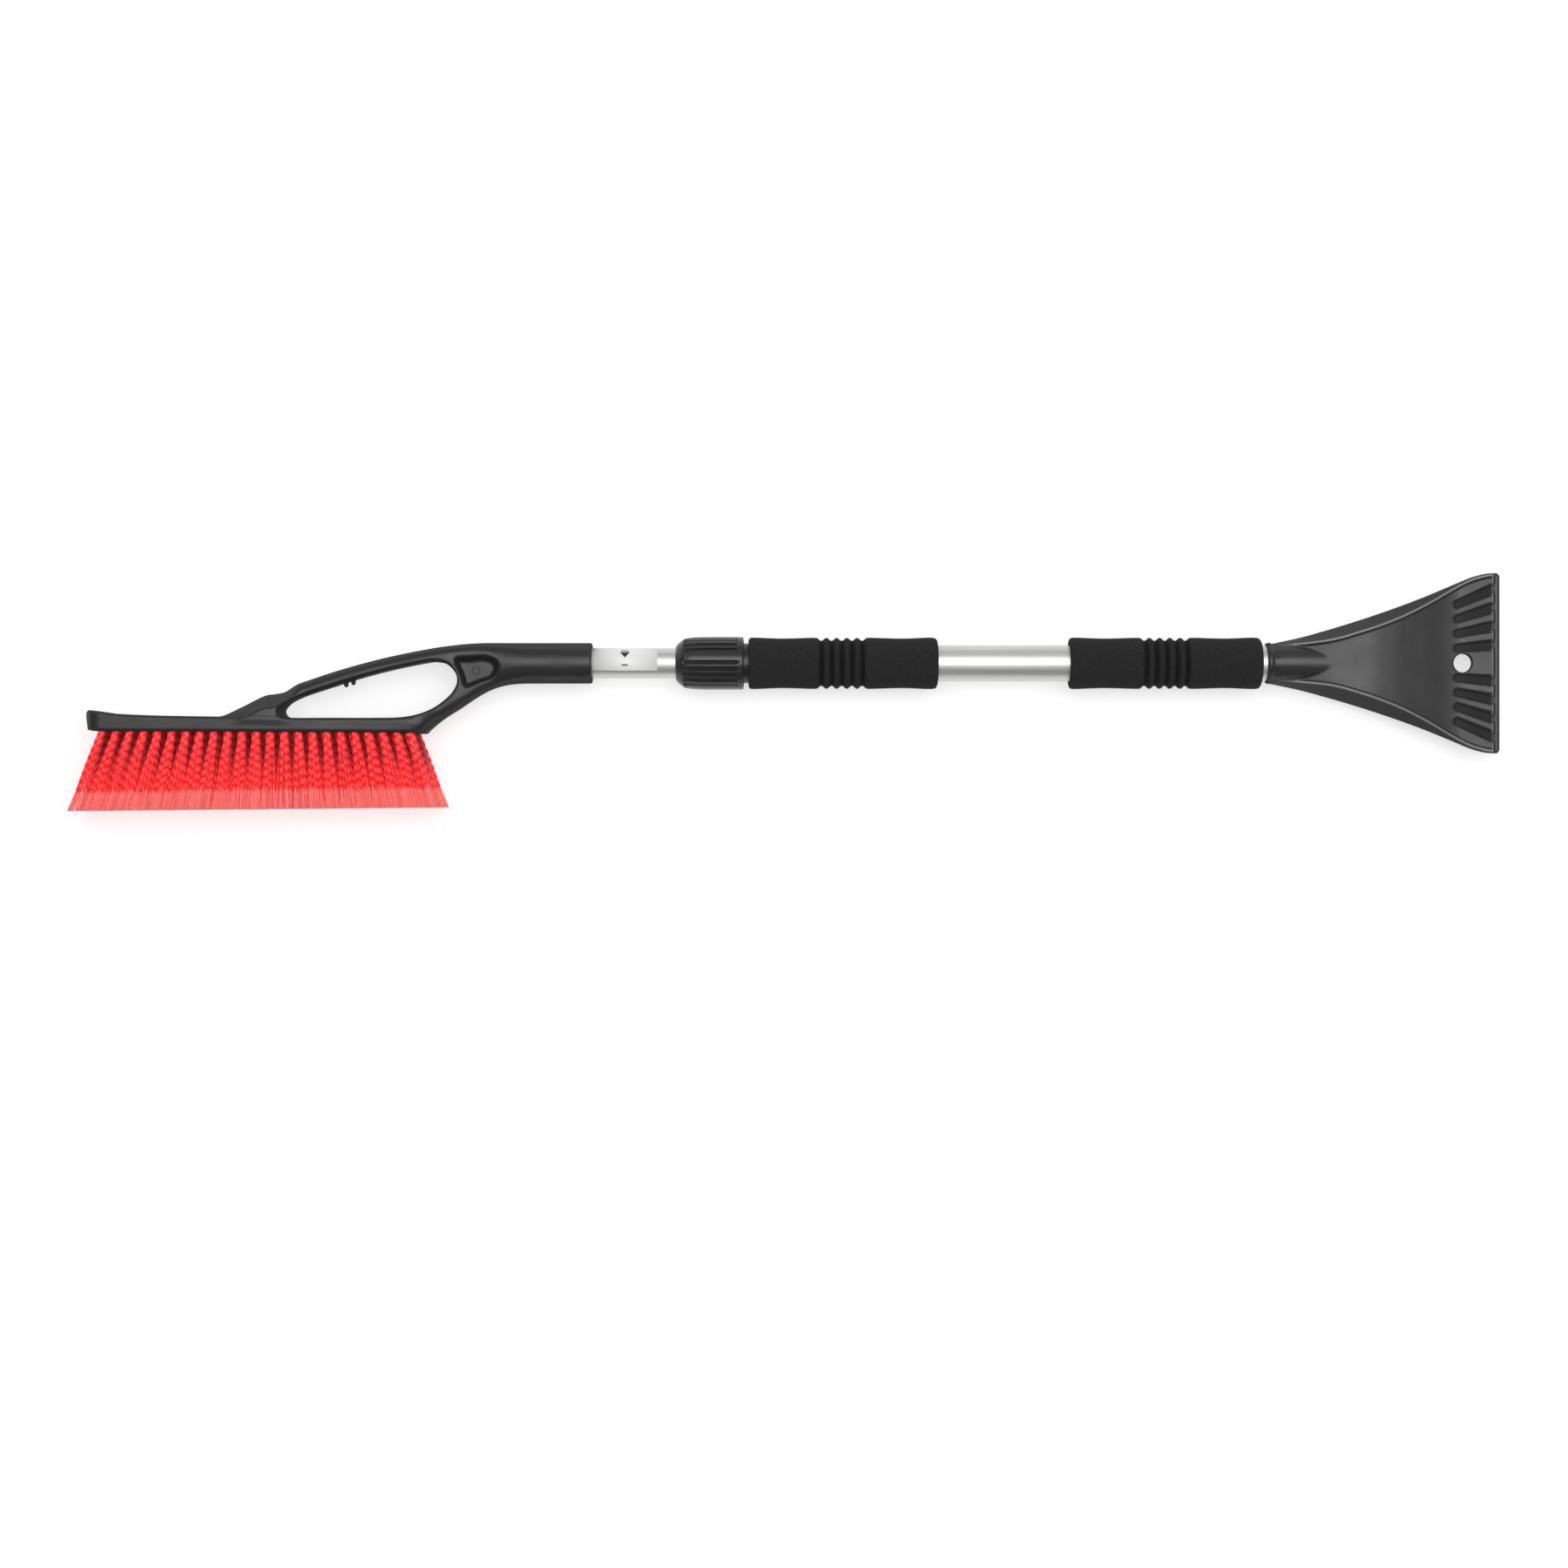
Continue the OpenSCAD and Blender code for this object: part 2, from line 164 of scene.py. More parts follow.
def rounded(corners, steps=4):
    """Closed outline of (a, b, cut) corners, each cut back by that much and bridged by a parabola."""
    p = np.array([c[:2] for c in corners], float)
    cut = np.array([c[2] for c in corners], float)[:, None]
    before, after = np.roll(p, 1, 0) - p, np.roll(p, -1, 0) - p
    start = p + before / np.linalg.norm(before, axis=1, keepdims=True) * cut
    end = p + after / np.linalg.norm(after, axis=1, keepdims=True) * cut
    t = np.linspace(0, 1, steps)[None, :, None]
    arcs = (1 - t) ** 2 * start[:, None] + 2 * t * (1 - t) * p[:, None] + t ** 2 * end[:, None]
    return arcs.reshape(-1, 2)


def outline_distance(outline, x, y):
    """Signed distance to a closed outline, negative inside, by its nearest side and by how many
    sides lie to the right of each place."""
    x, y = np.broadcast_arrays(x, y)
    nearest, inside = np.full(x.shape, np.inf), np.zeros(x.shape, bool)
    for (ax, ay), (bx, by) in zip(outline, np.roll(outline, -1, 0)):
        ex, ey = bx - ax, by - ay
        t = np.clip(((x - ax) * ex + (y - ay) * ey) / (ex * ex + ey * ey + 1e-12), 0, 1)
        nearest = np.minimum(nearest, (x - ax - t * ex) ** 2 + (y - ay - t * ey) ** 2)
        if ey:
            inside ^= ((ay <= y) != (by <= y)) & (x < ex * (y - ay) / ey + ax)
    return np.where(inside, -1, 1) * np.sqrt(nearest)


def both(a, b, radius):
    """Field of what lies inside both a and b, with their shared edge rounded."""
    return (np.hypot(np.maximum(a + radius, 0), np.maximum(b + radius, 0))
            + np.minimum(np.maximum(a, b) + radius, 0) - radius)


def merged(a, b, reach):
    """Field of what lies inside a or b, with a fillet that reaches that far from their corner."""
    h = np.clip(0.5 + 0.5 * (b - a) / reach, 0, 1)
    return b * (1 - h) + a * h - reach * h * (1 - h)


def ease(value, start, end):
    """0 before start, 1 after end, and a smooth S between them."""
    t = np.clip((value - start) / (end - start), 0, 1)
    return t * t * (3 - 2 * t)


def rounded_plan(x, z, x0, x1, half, radius):
    """Field of a rectangle from x0 to x1 and half to each side, with round corners."""
    qx = np.abs(x - (x0 + x1) / 2) - (x1 - x0) / 2 + radius
    qz = np.abs(z) - half + radius
    return np.hypot(np.maximum(qx, 0), np.maximum(qz, 0)) + np.minimum(np.maximum(qx, qz), 0) - radius


def polygonise(field, low, high, step):
    """Surface where a field is zero. Each grid cell that it crosses has one vertex, at the mean of
    the crossings of its edges, and each crossed edge has one quad. Normals are the field's slope.
    The step is the grid's spacing, one for all or one for each of x, y and z."""
    step = np.broadcast_to(step, 3)
    axes = [np.arange(a, b + s, s) for a, b, s in zip(low, high, step)]
    values = field(*np.meshgrid(*axes, indexing="ij", sparse=True))
    inside = values < 0
    corners = list(itertools.product((0, 1), repeat=3))
    size = np.array(values.shape) - 1
    count = sum(inside[i:i + size[0], j:j + size[1], k:k + size[2]].astype(np.int8) for i, j, k in corners)
    cells = np.argwhere((count > 0) & (count < 8))
    if not len(cells):
        raise ValueError("the field has no surface on its grid")
    number = np.full(size, -1)
    number[tuple(cells.T)] = np.arange(len(cells))
    total, hits = np.zeros((len(cells), 3)), np.zeros((len(cells), 1))
    quads = []
    for axis in range(3):
        along, b, c = np.eye(3, dtype=int)[[axis, (axis + 1) % 3, (axis + 2) % 3]]
        for i, j in itertools.product((0, 1), repeat=2):
            start = cells + i * b + j * c
            first, second = values[tuple(start.T)], values[tuple((start + along).T)]
            crossed = ((first < 0) != (second < 0))[:, None]
            share = (first / np.where(first == second, 1, first - second))[:, None]
            total += np.where(crossed, start + share * along, 0)
            hits += crossed
        edges = np.argwhere(np.diff(inside, axis=axis))
        edges = edges[((edges >= b + c) & (edges < size)).all(axis=1)]
        ring = np.stack([number[tuple((edges - m * b - n * c).T)]
                         for m, n in ((1, 1), (0, 1), (0, 0), (1, 0))], axis=1)
        outward = inside[tuple(edges.T)]
        quads.append(np.where(outward[:, None], ring, ring[:, ::-1]))
    place = total / hits
    slope = np.stack(np.gradient(values, *step), axis=-1)
    cell = np.floor(place).astype(int)
    part = place - cell
    normals = sum(slope[tuple((cell + corner).T)]
                  * np.prod(np.where(corner, part, 1 - part), axis=1)[:, None]
                  for corner in np.array(corners))
    normals /= np.linalg.norm(normals, axis=1, keepdims=True)
    return np.array(low) + step * place, np.vstack(quads), normals


def steep(normals):
    """1 on walls, 0 on faces that look up or down, and in between on what joins them."""
    return 1 - ease(np.abs(normals[:, 2]), 0.3, 0.8)


# ---------------------------------------------------------------- meshes

def add_object(name, data):
    """Puts a new object with this data in the scene."""
    thing = bpy.data.objects.new(name, data)
    bpy.context.scene.collection.objects.link(thing)
    return thing


def make_piece(name, points, faces, material, body, replaced=(), normals=None, values=None):
    """Mesh object from points about the handle's axis and one or more arrays of faces. It rides on
    its body, and values are numbers for each point that its material reads by name."""
    face_sets = faces if isinstance(faces, list) else [faces]
    mesh = bpy.data.meshes.new(name)
    points = (np.asarray(points).reshape(-1, 3) + [0, AXIS_Y, AXIS_Z]) * MM
    loops = np.concatenate([f.ravel() for f in face_sets]).astype(np.int32)
    sizes = np.concatenate([np.full(len(f), f.shape[1]) for f in face_sets])
    mesh.vertices.add(len(points))
    mesh.vertices.foreach_set("co", points.ravel())
    mesh.loops.add(len(loops))
    mesh.loops.foreach_set("vertex_index", loops)
    mesh.polygons.add(len(sizes))
    mesh.polygons.foreach_set("loop_start", (np.cumsum(sizes) - sizes).astype(np.int32))
    mesh.polygons.foreach_set("use_smooth", np.ones(len(sizes), bool))
    mesh.update(calc_edges=True)
    if normals is not None:
        mesh.normals_split_custom_set_from_vertices(normals)
    for key, numbers in (values or {}).items():
        layer = mesh.attributes.new(key, "FLOAT", "POINT")
        layer.data.foreach_set("value", np.asarray(numbers, np.float32).ravel())
    mesh.materials.append(material)
    piece = add_object(name, mesh)
    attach(piece, body)
    if replaced:
        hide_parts(*replaced)
    return piece


def grid_faces(rows, columns, close_rows=True, close_columns=True, flip=False):
    """Quads between neighbours on a grid of points, with either direction closed on itself."""
    i = np.arange(rows if close_rows else rows - 1)[:, None]
    j = np.arange(columns if close_columns else columns - 1)[None, :]
    after_i, after_j = (i + 1) % rows, (j + 1) % columns
    quads = np.stack([i * columns + j, after_i * columns + j,
                      after_i * columns + after_j, i * columns + after_j], axis=-1).reshape(-1, 4)
    return quads[:, ::-1] if flip else quads


def turned(profile, turns, relief=None):
    """A closed profile of (x, radius) carried round the handle's axis. relief(x, radius, angle)
    gives each point's own radius."""
    x, radius = np.asarray(profile).T
    angle = np.linspace(0, 2 * np.pi, turns, endpoint=False)
    x, radius, angle = np.broadcast_arrays(x[:, None], radius[:, None], angle[None, :])
    if relief:
        radius = relief(x, radius, angle)
    points = np.stack([x, radius * np.cos(angle), radius * np.sin(angle)], axis=-1)
    px, pr = np.asarray(profile).T
    clockwise = np.sum(px * np.roll(pr, -1) - np.roll(px, -1) * pr) < 0
    return points, grid_faces(len(profile), turns, flip=clockwise)


# ---------------------------------------------------------------- materials

def feed(node, **inputs):
    """Feeds a node's inputs by name, with _ for a space, or by their place after _. A socket is
    linked and anything else is set as the value, with its alpha where it is a colour."""
    for key, value in inputs.items():
        target = node.inputs[int(key[1:]) if key[0] == "_" else key.replace("_", " ")]
        if isinstance(value, bpy.types.NodeSocket):
            node.id_data.links.new(value, target)
        else:
            target.default_value = (*value, 1) if target.type == "RGBA" else value


def add_node(tree, kind, settings=None, **inputs):
    """Adds a node, sets its properties and feeds its inputs."""
    node = tree.nodes.new(kind)
    for key, value in (settings or {}).items():
        setattr(node, key, value)
    feed(node, **inputs)
    return node


def new_material(name):
    """A material with an empty tree: the tree, its shader and the Object coordinates."""
    material = bpy.data.materials.new(name)
    material.use_nodes = True
    tree = material.node_tree
    tree.nodes.clear()
    shader = add_node(tree, "ShaderNodeBsdfPrincipled")
    add_node(tree, "ShaderNodeOutputMaterial", Surface=shader.outputs["BSDF"])
    place = add_node(tree, "ShaderNodeTexCoord").outputs["Object"]
    return material, tree, shader, place


def attribute(tree, name):
    """A piece's own numbers by their name; 0 on a piece that has none."""
    return add_node(tree, "ShaderNodeAttribute", {"attribute_name": name}).outputs["Fac"]


def mixed(tree, share, first, second):
    """The first colour or number, which turns into the second as the share goes from 0 to 1."""
    if isinstance(second, float):
        return add_node(tree, "ShaderNodeMix", {"data_type": "FLOAT"}, _0=share, _2=first,
                        _3=second).outputs[0]
    return add_node(tree, "ShaderNodeMix", {"data_type": "RGBA"}, _0=share, _6=first, _7=second).outputs[2]


def noise(tree, place, size_mm, detail):
    """Noise with patches of a size in millimetres."""
    return add_node(tree, "ShaderNodeTexNoise", Scale=1 / (size_mm * MM), Detail=detail,
                    Vector=place).outputs["Fac"]


def mottled(tree, place, light, dark, size_mm, detail=3):
    """Colour that drifts between two shades over patches of a size in millimetres."""
    ramp = add_node(tree, "ShaderNodeValToRGB", Fac=noise(tree, place, size_mm, detail))
    first, last = ramp.color_ramp.elements
    first.position, last.position = 0.3, 0.7
    first.color, last.color = (*dark, 1), (*light, 1)
    return ramp.outputs["Color"]


def uneven_gloss(tree, place, low, high, size_mm):
    """Roughness that drifts between two values, as handling leaves it."""
    return add_node(tree, "ShaderNodeMapRange", From_Min=0.3, From_Max=0.7, To_Min=low, To_Max=high,
                    Value=noise(tree, place, size_mm, 4)).outputs["Result"]


def raised(tree, pattern, depth_mm, before=None):
    """Bump of a depth in millimetres from a pattern, on top of what came before."""
    under = {} if before is None else {"Normal": before}
    return add_node(tree, "ShaderNodeBump", Strength=1.0, Distance=depth_mm * MM, Height=pattern,
                    **under).outputs["Normal"]


def grain(tree, place, size_mm, depth_mm, detail=2, before=None):
    """Bump from noise, with a size and a depth in millimetres."""
    return raised(tree, noise(tree, place, size_mm, detail), depth_mm, before)


def shade(colour, factor):
    """The colour made lighter or darker by a factor."""
    return tuple(min(1.0, c * factor) for c in colour)


# Light grey of the painted highlight on a piece's marked edges
PAINTED_HIGHLIGHT_GREY = (0.26, 0.26, 0.26)


@lru_cache(maxsize=None)
def moulded_plastic(name, colour, roughness):
    """Plastic from a spark-eroded mould: a broad soft highlight over a fine even grain, a painted
    highlight of light grey along the edges that a piece marks, and dull on the steep walls, which the mould
    drags as it opens. The grain is drawn at 0.9 mm, coarser than the real 0.2 mm, so that it shows."""
    material, tree, shader, place = new_material(name)
    even = mottled(tree, place, shade(colour, 1.12), shade(colour, 0.9), 26)
    gloss = uneven_gloss(tree, place, roughness - 0.05, roughness + 0.06, 14)
    fine = grain(tree, place, 0.9, 0.02, detail=3)
    # Where a piece marks its edges, the colour turns light grey: a painted highlight
    feed(shader, Base_Color=mixed(tree, attribute(tree, "painted_edge_highlight"), even, PAINTED_HIGHLIGHT_GREY),
         Roughness=mixed(tree, attribute(tree, "dull"), gloss, 0.9),
         Normal=grain(tree, place, 18, 0.12, before=fine), IOR=1.49)
    return material


@lru_cache(maxsize=None)
def foam_rubber(colour):
    """Closed-cell foam with a ground skin: no gloss, and a fine open texture of cells about 0.7 mm
    across with scattered larger pores. It carries painted shade down in its grooves and on its rounded
    ends."""
    material, tree, shader, place = new_material("ground_closed_cell_foam")
    skin = mottled(tree, place, shade(colour, 1.5), shade(colour, 0.7), 0.7)
    cells = add_node(tree, "ShaderNodeTexVoronoi", Scale=1 / (0.7 * MM), Vector=place)
    pitted = raised(tree, cells.outputs["Distance"], 0.12)
    # Darker where the groove numbers are high: painted shade
    feed(shader, Base_Color=mixed(tree, attribute(tree, "groove"), skin, shade(colour, 0.3)),
         Normal=grain(tree, place, 3.2, 0.16, detail=4, before=pitted), Roughness=1.0,
         Specular_IOR_Level=0.2)
    return material


@lru_cache(maxsize=None)
def drawn_aluminium(colour):
    """Clear anodised drawn tube: fine die lines along the tube, spaced about 0.35 mm, that spread
    the highlight round it, under a hard slightly milky skin."""
    material, tree, shader, place = new_material("clear_anodised_drawn_tube")
    lines = add_node(tree, "ShaderNodeMapping", Scale=(0.012, 1.0, 1.0), Vector=place).outputs["Vector"]
    feed(shader, Base_Color=mottled(tree, lines, colour, shade(colour, 0.9), 0.9, detail=6),
         Roughness=uneven_gloss(tree, lines, 0.4, 0.5, 0.6),
         Normal=grain(tree, lines, 0.35, 0.006, detail=4), Metallic=1.0)
    return material


@lru_cache(maxsize=None)
def dull_metal(name, colour):
    """Zinc-plated steel: a dull bright metal with a faint crystalline mottle 1.5 mm across."""
    material, tree, shader, place = new_material(name)
    feed(shader, Base_Color=mottled(tree, place, colour, shade(colour, 0.8), 1.5),
         Normal=grain(tree, place, 0.5, 0.01), Metallic=1.0, Roughness=0.38)
    return material


@lru_cache(maxsize=None)
def printed_film(name, colour, roughness):
    """Polyester film or ink on it: smooth and faintly wavy where it follows the tube."""
    material, tree, shader, place = new_material(name)
    feed(shader, Base_Color=mottled(tree, place, colour, shade(colour, 0.96), 12),
         Normal=grain(tree, place, 9, 0.02), Roughness=roughness, IOR=1.5)
    return material


@lru_cache(maxsize=None)
def crimped_fibre(body, crest, tip):
    """Crimped polypropylene monofilament in red with a painted glow: it gives off some light of its own,
    which lifts it between the fibres. The crests of the crimp carry a painted highlight, and it is
    pale where the split ends scatter the light."""
    material, tree, shader, place = new_material("crimped_polypropylene_fibre")
    # The lighter crest colour is a painted highlight on each crest of the crimp
    with_painted_crests = mixed(tree, attribute(tree, "crest"), body, crest)
    tipped = mixed(tree, attribute(tree, "split"), with_painted_crests, tip)
    # Value scales the colour by each fibre's random tone and, near the block, by painted shade and painted
    # light
    varied = add_node(tree, "ShaderNodeHueSaturation", Value=attribute(tree, "tone_and_painted_shade"),
                      Color=tipped).outputs["Color"]
    # The emission of 0.23 is a painted glow that lifts the tufts' red
    feed(shader, Base_Color=varied, Emission_Color=varied, Emission_Strength=0.23,
         Normal=grain(tree, place, 1.2, 0.02), Roughness=0.45, Specular_IOR_Level=0.2)
    return material


def finish(kind):
    """The named material in the panel's colours. The makers keep what they have made, so pieces of
    one finish share one material."""
    c = bpy.context.scene.snow_brush_finishes
    makers = {
        # Spark-textured head and sleeve: a soft grey bloom on everything that faces the light
        "plastic": lambda: moulded_plastic("spark_textured_polypropylene", tuple(c.plastic), 0.38),
        # Polished between its slots, so that each rib carries a thin bright line
        "collar": lambda: moulded_plastic("polished_rib_nylon", shade(c.plastic, 1.2), 0.22),
        # Satin all over: the wide panel shows one slow change from light to dark
        "scraper": lambda: moulded_plastic("satin_polycarbonate_blend", tuple(c.scraper), 0.34),
        "foam": lambda: foam_rubber(tuple(c.foam)),
        "aluminium": lambda: drawn_aluminium(tuple(c.aluminium)),
        "zinc": lambda: dull_metal("zinc_plated_steel", tuple(c.zinc)),
        # Undyed nylon: a warm off-white with a waxy highlight
        "nylon": lambda: moulded_plastic("natural_nylon", tuple(c.nylon), 0.45),
        "film": lambda: printed_film("polyester_film", tuple(c.film), 0.35),
        "ink": lambda: printed_film("screen_ink", tuple(c.ink), 0.5),
        "fibre": lambda: crimped_fibre(tuple(c.fibre), tuple(c.fibre_crest_highlight), tuple(c.fibre_tip)),
    }
    return makers[kind]()


# ---------------------------------------------------------------- brush head

BOW_TOP = [(-350, -38), (-341, -32.7), (-332.6, -28.4), (-326, -25.2), (-319.9, -22), (-314, -19.5),
           (-308.5, -18.8), (-302.5, -17.4), (-296, -13.2), (-289, -10.6), (-269, -4), (-243.5, 2.9),
           (-218, 8.1), (-200, 10.8), (-184, 12.2), (-170, 12.4), (-110, 12.4)]
BOW_UNDER = [(-110, -12.4), (-148, -12.6), (-161, -14), (-173, -17.4), (-186, -22.4), (-199, -28.9),
             (-209, -35.4), (-217.6, -42.3)]
WINDOW = [(-305.4, -28.4), (-301.2, -24.1), (-294.4, -20.9), (-281.7, -16.6), (-256.3, -8.6),
          (-236, -3.4), (-218, 0.3), (-211, 0.9), (-204, -0.9), (-198.9, -6.2), (-198, -12),
          (-201, -18), (-206, -22.9), (-213, -27.8), (-221, -31.2), (-231, -33), (-245, -33.4),
          (-275, -33.4), (-297, -33.4), (-303.6, -32.3)]
BLOCK_TOP = [(-423, -31.2), (-420.8, -28.7), (-415, -29.4), (-402.5, -31), (-377, -32.1), (-341, -32.7)]
POCKET = [(-199.4, -0.5), (-198.2, 3.2), (-190, 3.9), (-180.5, 4.4), (-174.4, 1.5), (-172.5, -3.5),
          (-176.2, -10), (-184, -12.9), (-191.5, -15.6), (-194.6, -13.5), (-196.2, -8)]
POCKET_DEPTH = 4.6
PEGS = [(-266.3, -13.2), (-261.9, -12)]
PEG_RADIUS, PEG_LENGTH = 1.45, 5.0
BLOCK_START, BLOCK_END, BLOCK_CORNER = -423.2, -216.6, 11.0
SOCKET_END = span("brush_head")[1]
MOUTH_START, MOUTH_RADIUS = -121.0, 9.7
MARK_X, MARK_Y, MARK_RADIUS, MARK_THICKNESS = -186.7, -4.8, 2.3, 0.22


def brush_head_field(x, y, z):
    """Moulded brush head. The block is its side outline met with a round-ended plan. The bow is its
    side outline less the finger window, met with its half width, which flares out to the block. The
    socket is a cylinder that narrows into the bow."""
    size = sizes()
    depth = np.abs(z)
    block_outline = np.vstack([spline(BLOCK_TOP, 6), rounded([
        (-226, -32.7, 1), (-216.8, -41, 0.5), (-217.8, -42.3, 0.5), (-417, -41.6, 4),
        (BLOCK_START, -40.2, 2)], 4)])
    block = both(outline_distance(block_outline, x, y),
                 rounded_plan(x, z, BLOCK_START, BLOCK_END, size.block_half_width, BLOCK_CORNER), 1.8)
    outer = outline_distance(np.vstack([spline(BOW_TOP, 5), spline(BOW_UNDER, 5)]), x, y)
    window = outline_distance(spline(WINDOW, 5, closed=True), x, y)
    near_block = 1 - ease(x, -306, -290)
    below_top = along(BOW_TOP, x) - y
    half_width = (size.bow_half_width + (size.root_half_width - size.bow_half_width) * ease(x, -250, -205)
                  + (size.block_half_width - size.bow_half_width) * ease(below_top, 1.5, 9.5) * near_block
                  + (size.block_half_width - size.root_half_width) * ease(-x, 206, 223) * ease(-y, 18, 30)
                  * (1 - near_block))
    bow = both(outer, depth - half_width, 6.2)
    turning_round = ease(x, -200, -150)
    bow = bow * (1 - turning_round) + (np.hypot(y, z) - size.socket_radius) * turning_round
    head = merged(both(bow, x - SOCKET_END, 0.7), block, 2.5)
    head = both(head, -window, 2.0)
    below = size.root_half_width - z
    wall = (outline_distance(spline(POCKET, 5, closed=True), x, y) + 0.62 * below) * 0.85
    head = both(head, -both(wall, below - POCKET_DEPTH, 0.9), 0.8)
    for px, py in PEGS:
        peg = np.sqrt((x - px) ** 2 + np.maximum(py - y, 0) ** 2 + z ** 2) - PEG_RADIUS
        head = np.minimum(head, np.maximum(peg, y - py - PEG_LENGTH))
    mouth = np.maximum(np.hypot(y, z) - MOUTH_RADIUS, MOUTH_START - x)
    return both(head, -mouth, 0.5)


class SNOWBRUSH_OT_brush_head(Operator):
    """Builds the brush head with its bow, socket and pocket"""
    bl_idname = "snowbrush.brush_head"
    bl_label = "Brush Head"

    def execute(self, context):
        size = sizes()
        points, quads, normals = polygonise(brush_head_field, (-426, -46, -19), (-113, 16, 19),
                                            size.head_step)
        make_piece("brush_head_shell", points, quads, finish("plastic"), "brush", ("brush_head",),
                   normals=normals, values={"dull": steep(normals)})
        # The ring that an ejector pin leaves on the pocket's floor: a circle carried round a circle
        turn = np.linspace(0, 2 * np.pi, 40, endpoint=False)[:, None]
        tube = np.linspace(0, 2 * np.pi, 10, endpoint=False)[None, :]
        radius = MARK_RADIUS + MARK_THICKNESS * np.cos(tube)
        floor = size.root_half_width - POCKET_DEPTH
        ring = np.stack([MARK_X + radius * np.cos(turn), MARK_Y + radius * np.sin(turn),
                         floor + 0.05 + MARK_THICKNESS * np.sin(tube) + 0 * turn], axis=-1)
        make_piece("ejector_mark", ring, grid_faces(40, 10), finish("plastic"), "brush")
        return {"FINISHED"}


# ---------------------------------------------------------------- scraper

RIM_TOP = [(290, 2.8), (306, 5.6), (320, 9.8), (332.3, 12.9), (350, 14.7), (366, 13.3), (386, 9.7),
           (400, 6.9), (408.5, 5.7), (414, 5.7), (440, 5.7)]
TRAY_UNDER = [(290, -11.4), (320, -10.6), (350, -7.6), (380, -3.6), (402, -0.3), (410, 0), (440, 0)]
LOW_EDGE = [(288, 11), (296, 12), (304.5, 13.8), (317.2, 16.7), (329.9, 20.3), (342.6, 24.1),
            (355.4, 28.2), (368.1, 32.6), (379, 36.6), (390.3, 41), (403.1, 46.4), (415.8, 51.6),
            (422.1, 53.6), (428.5, 54.8), (440, 55)]
RIM_EDGE = [(288, 10.5), (297, 11.4), (319, 13.3), (334, 15.6), (350, 20.3), (360, 23.6), (372, 28.2),
            (382, 32.8), (393, 38.5), (404, 44.8), (415, 50.6), (422, 53), (428.5, 54.4), (440, 54.8)]
LAND_HEIGHT, STRIP_HEIGHT = 5.7, 2.3
STRIP_X, EDGE_X = 430.6, span("scraper_head")[1]
HOLE_X, HOLE_RADIUS = 412.0, 5.65
GROOVE_START_X = 408.7
GROOVE_PITCH, GROOVE_FAN = 8.9, 2.5
CUP_START, CUP_END, CUP_RADIUS = 294.0, 333.0, 11.9
RING_X, RING_RADIUS, RING_THICKNESS = 294.6, 10.3, 2.3
BORE_END, BORE_RADIUS = 300.0, 11.15
HOLLOW_START, HOLLOW_END, SIDE_WALL, PANEL_WALL = 334.0, 402.0, 2.6, 3.0
RIB_X, RIB_Y, RIB_HALF = 372.0, 12.0, 1.0


def along(curve, x):
    """Height of a smooth curve of (x, height) points at each x."""
    p = spline(curve, 8)
    return np.interp(x, p[:, 0], p[:, 1])


def groove_relief(x, side):
    """How deep the fanned grooves cut the blade: a flat floor that falls towards the edge, a steep
    wall on its outer side, and a slanting one on its inner side that widens as the groove deepens.
    Their pitch grows by the fan from where they start to the strip."""
    groove_length = STRIP_X - GROOVE_START_X
    run = np.clip((x - GROOVE_START_X) / groove_length, 0, 1.3)
    relief = 0
    for k in (1, 2, 3, 4):
        centre = GROOVE_PITCH * k + GROOVE_FAN * k * run
        across = (side - centre) * math.cos(math.atan(GROOVE_FAN * k / groove_length))
        behind = np.maximum(GROOVE_START_X - x, 0)
        across = np.where(across < 0, -1, 1) * np.hypot(across, behind)
        slant = 0.6 + 2.2 * run
        profile = ease(across, -2.1 - slant, -1.9) * (1 - ease(across, 1.9, 2.9))
        relief = np.maximum(relief, (1.9 + 1.3 * np.minimum(run, 1)) * profile)
    return relief


def scraper_field(x, y, z):
    """Moulded scraper. Its top follows a side curve, lies a little below its rim, and carries the
    grooves and the step down to the bare strip. Its side walls slope out from the rim to the lower
    edge. The cup for the tube and its end ring are joined on, and the underside is hollow."""
    size = sizes()
    side = np.abs(y)
    top, under = along(RIM_TOP, x), along(TRAY_UNDER, x)
    rim, low = along(RIM_EDGE, x), along(LOW_EDGE, x)
    share = np.clip((z - under) / (top - under), 0, 1)
    width = low + (rim - low) * share
    recess = size.rim_recess * (1 - ease(side, rim - 2.7, rim - 2.0)) * ease(x, 297, 305)
    step = (LAND_HEIGHT - STRIP_HEIGHT) * ease(x, STRIP_X - 0.6, STRIP_X + 0.8)
    relief = np.maximum(groove_relief(x, side) * (x < STRIP_X + 3) - recess, 0) + recess
    surface = top - np.maximum(relief, step)
    wall = (side - width) * 0.9
    plan = both(wall, x - EDGE_X, 2.4)
    body = both(both(plan, (z - surface) * 0.85, 1.1), under - z, 0.9)
    hollow = np.maximum(np.maximum(side - width + SIDE_WALL, z - top + PANEL_WALL),
                        np.maximum(HOLLOW_START - x, x - HOLLOW_END))
    ribs = np.minimum(np.abs(side - RIB_Y), np.abs(x - RIB_X)) - RIB_HALF
    body = both(body, -np.maximum(hollow, -ribs), 0.5)
    cup = both(np.hypot(y, z) - CUP_RADIUS, np.maximum(CUP_START - x, x - CUP_END), 0.5)
    ring = np.hypot(np.hypot(y, z) - RING_RADIUS, x - RING_X) - RING_THICKNESS
    shape = np.minimum(merged(np.maximum(body, CUP_START + 1 - x), cup, 0.45), ring)
    shape = both(shape, HOLE_RADIUS - np.hypot(x - HOLE_X, y), 0.5)
    return both(shape, -np.maximum(np.hypot(y, z) - BORE_RADIUS, x - BORE_END), 0.3)


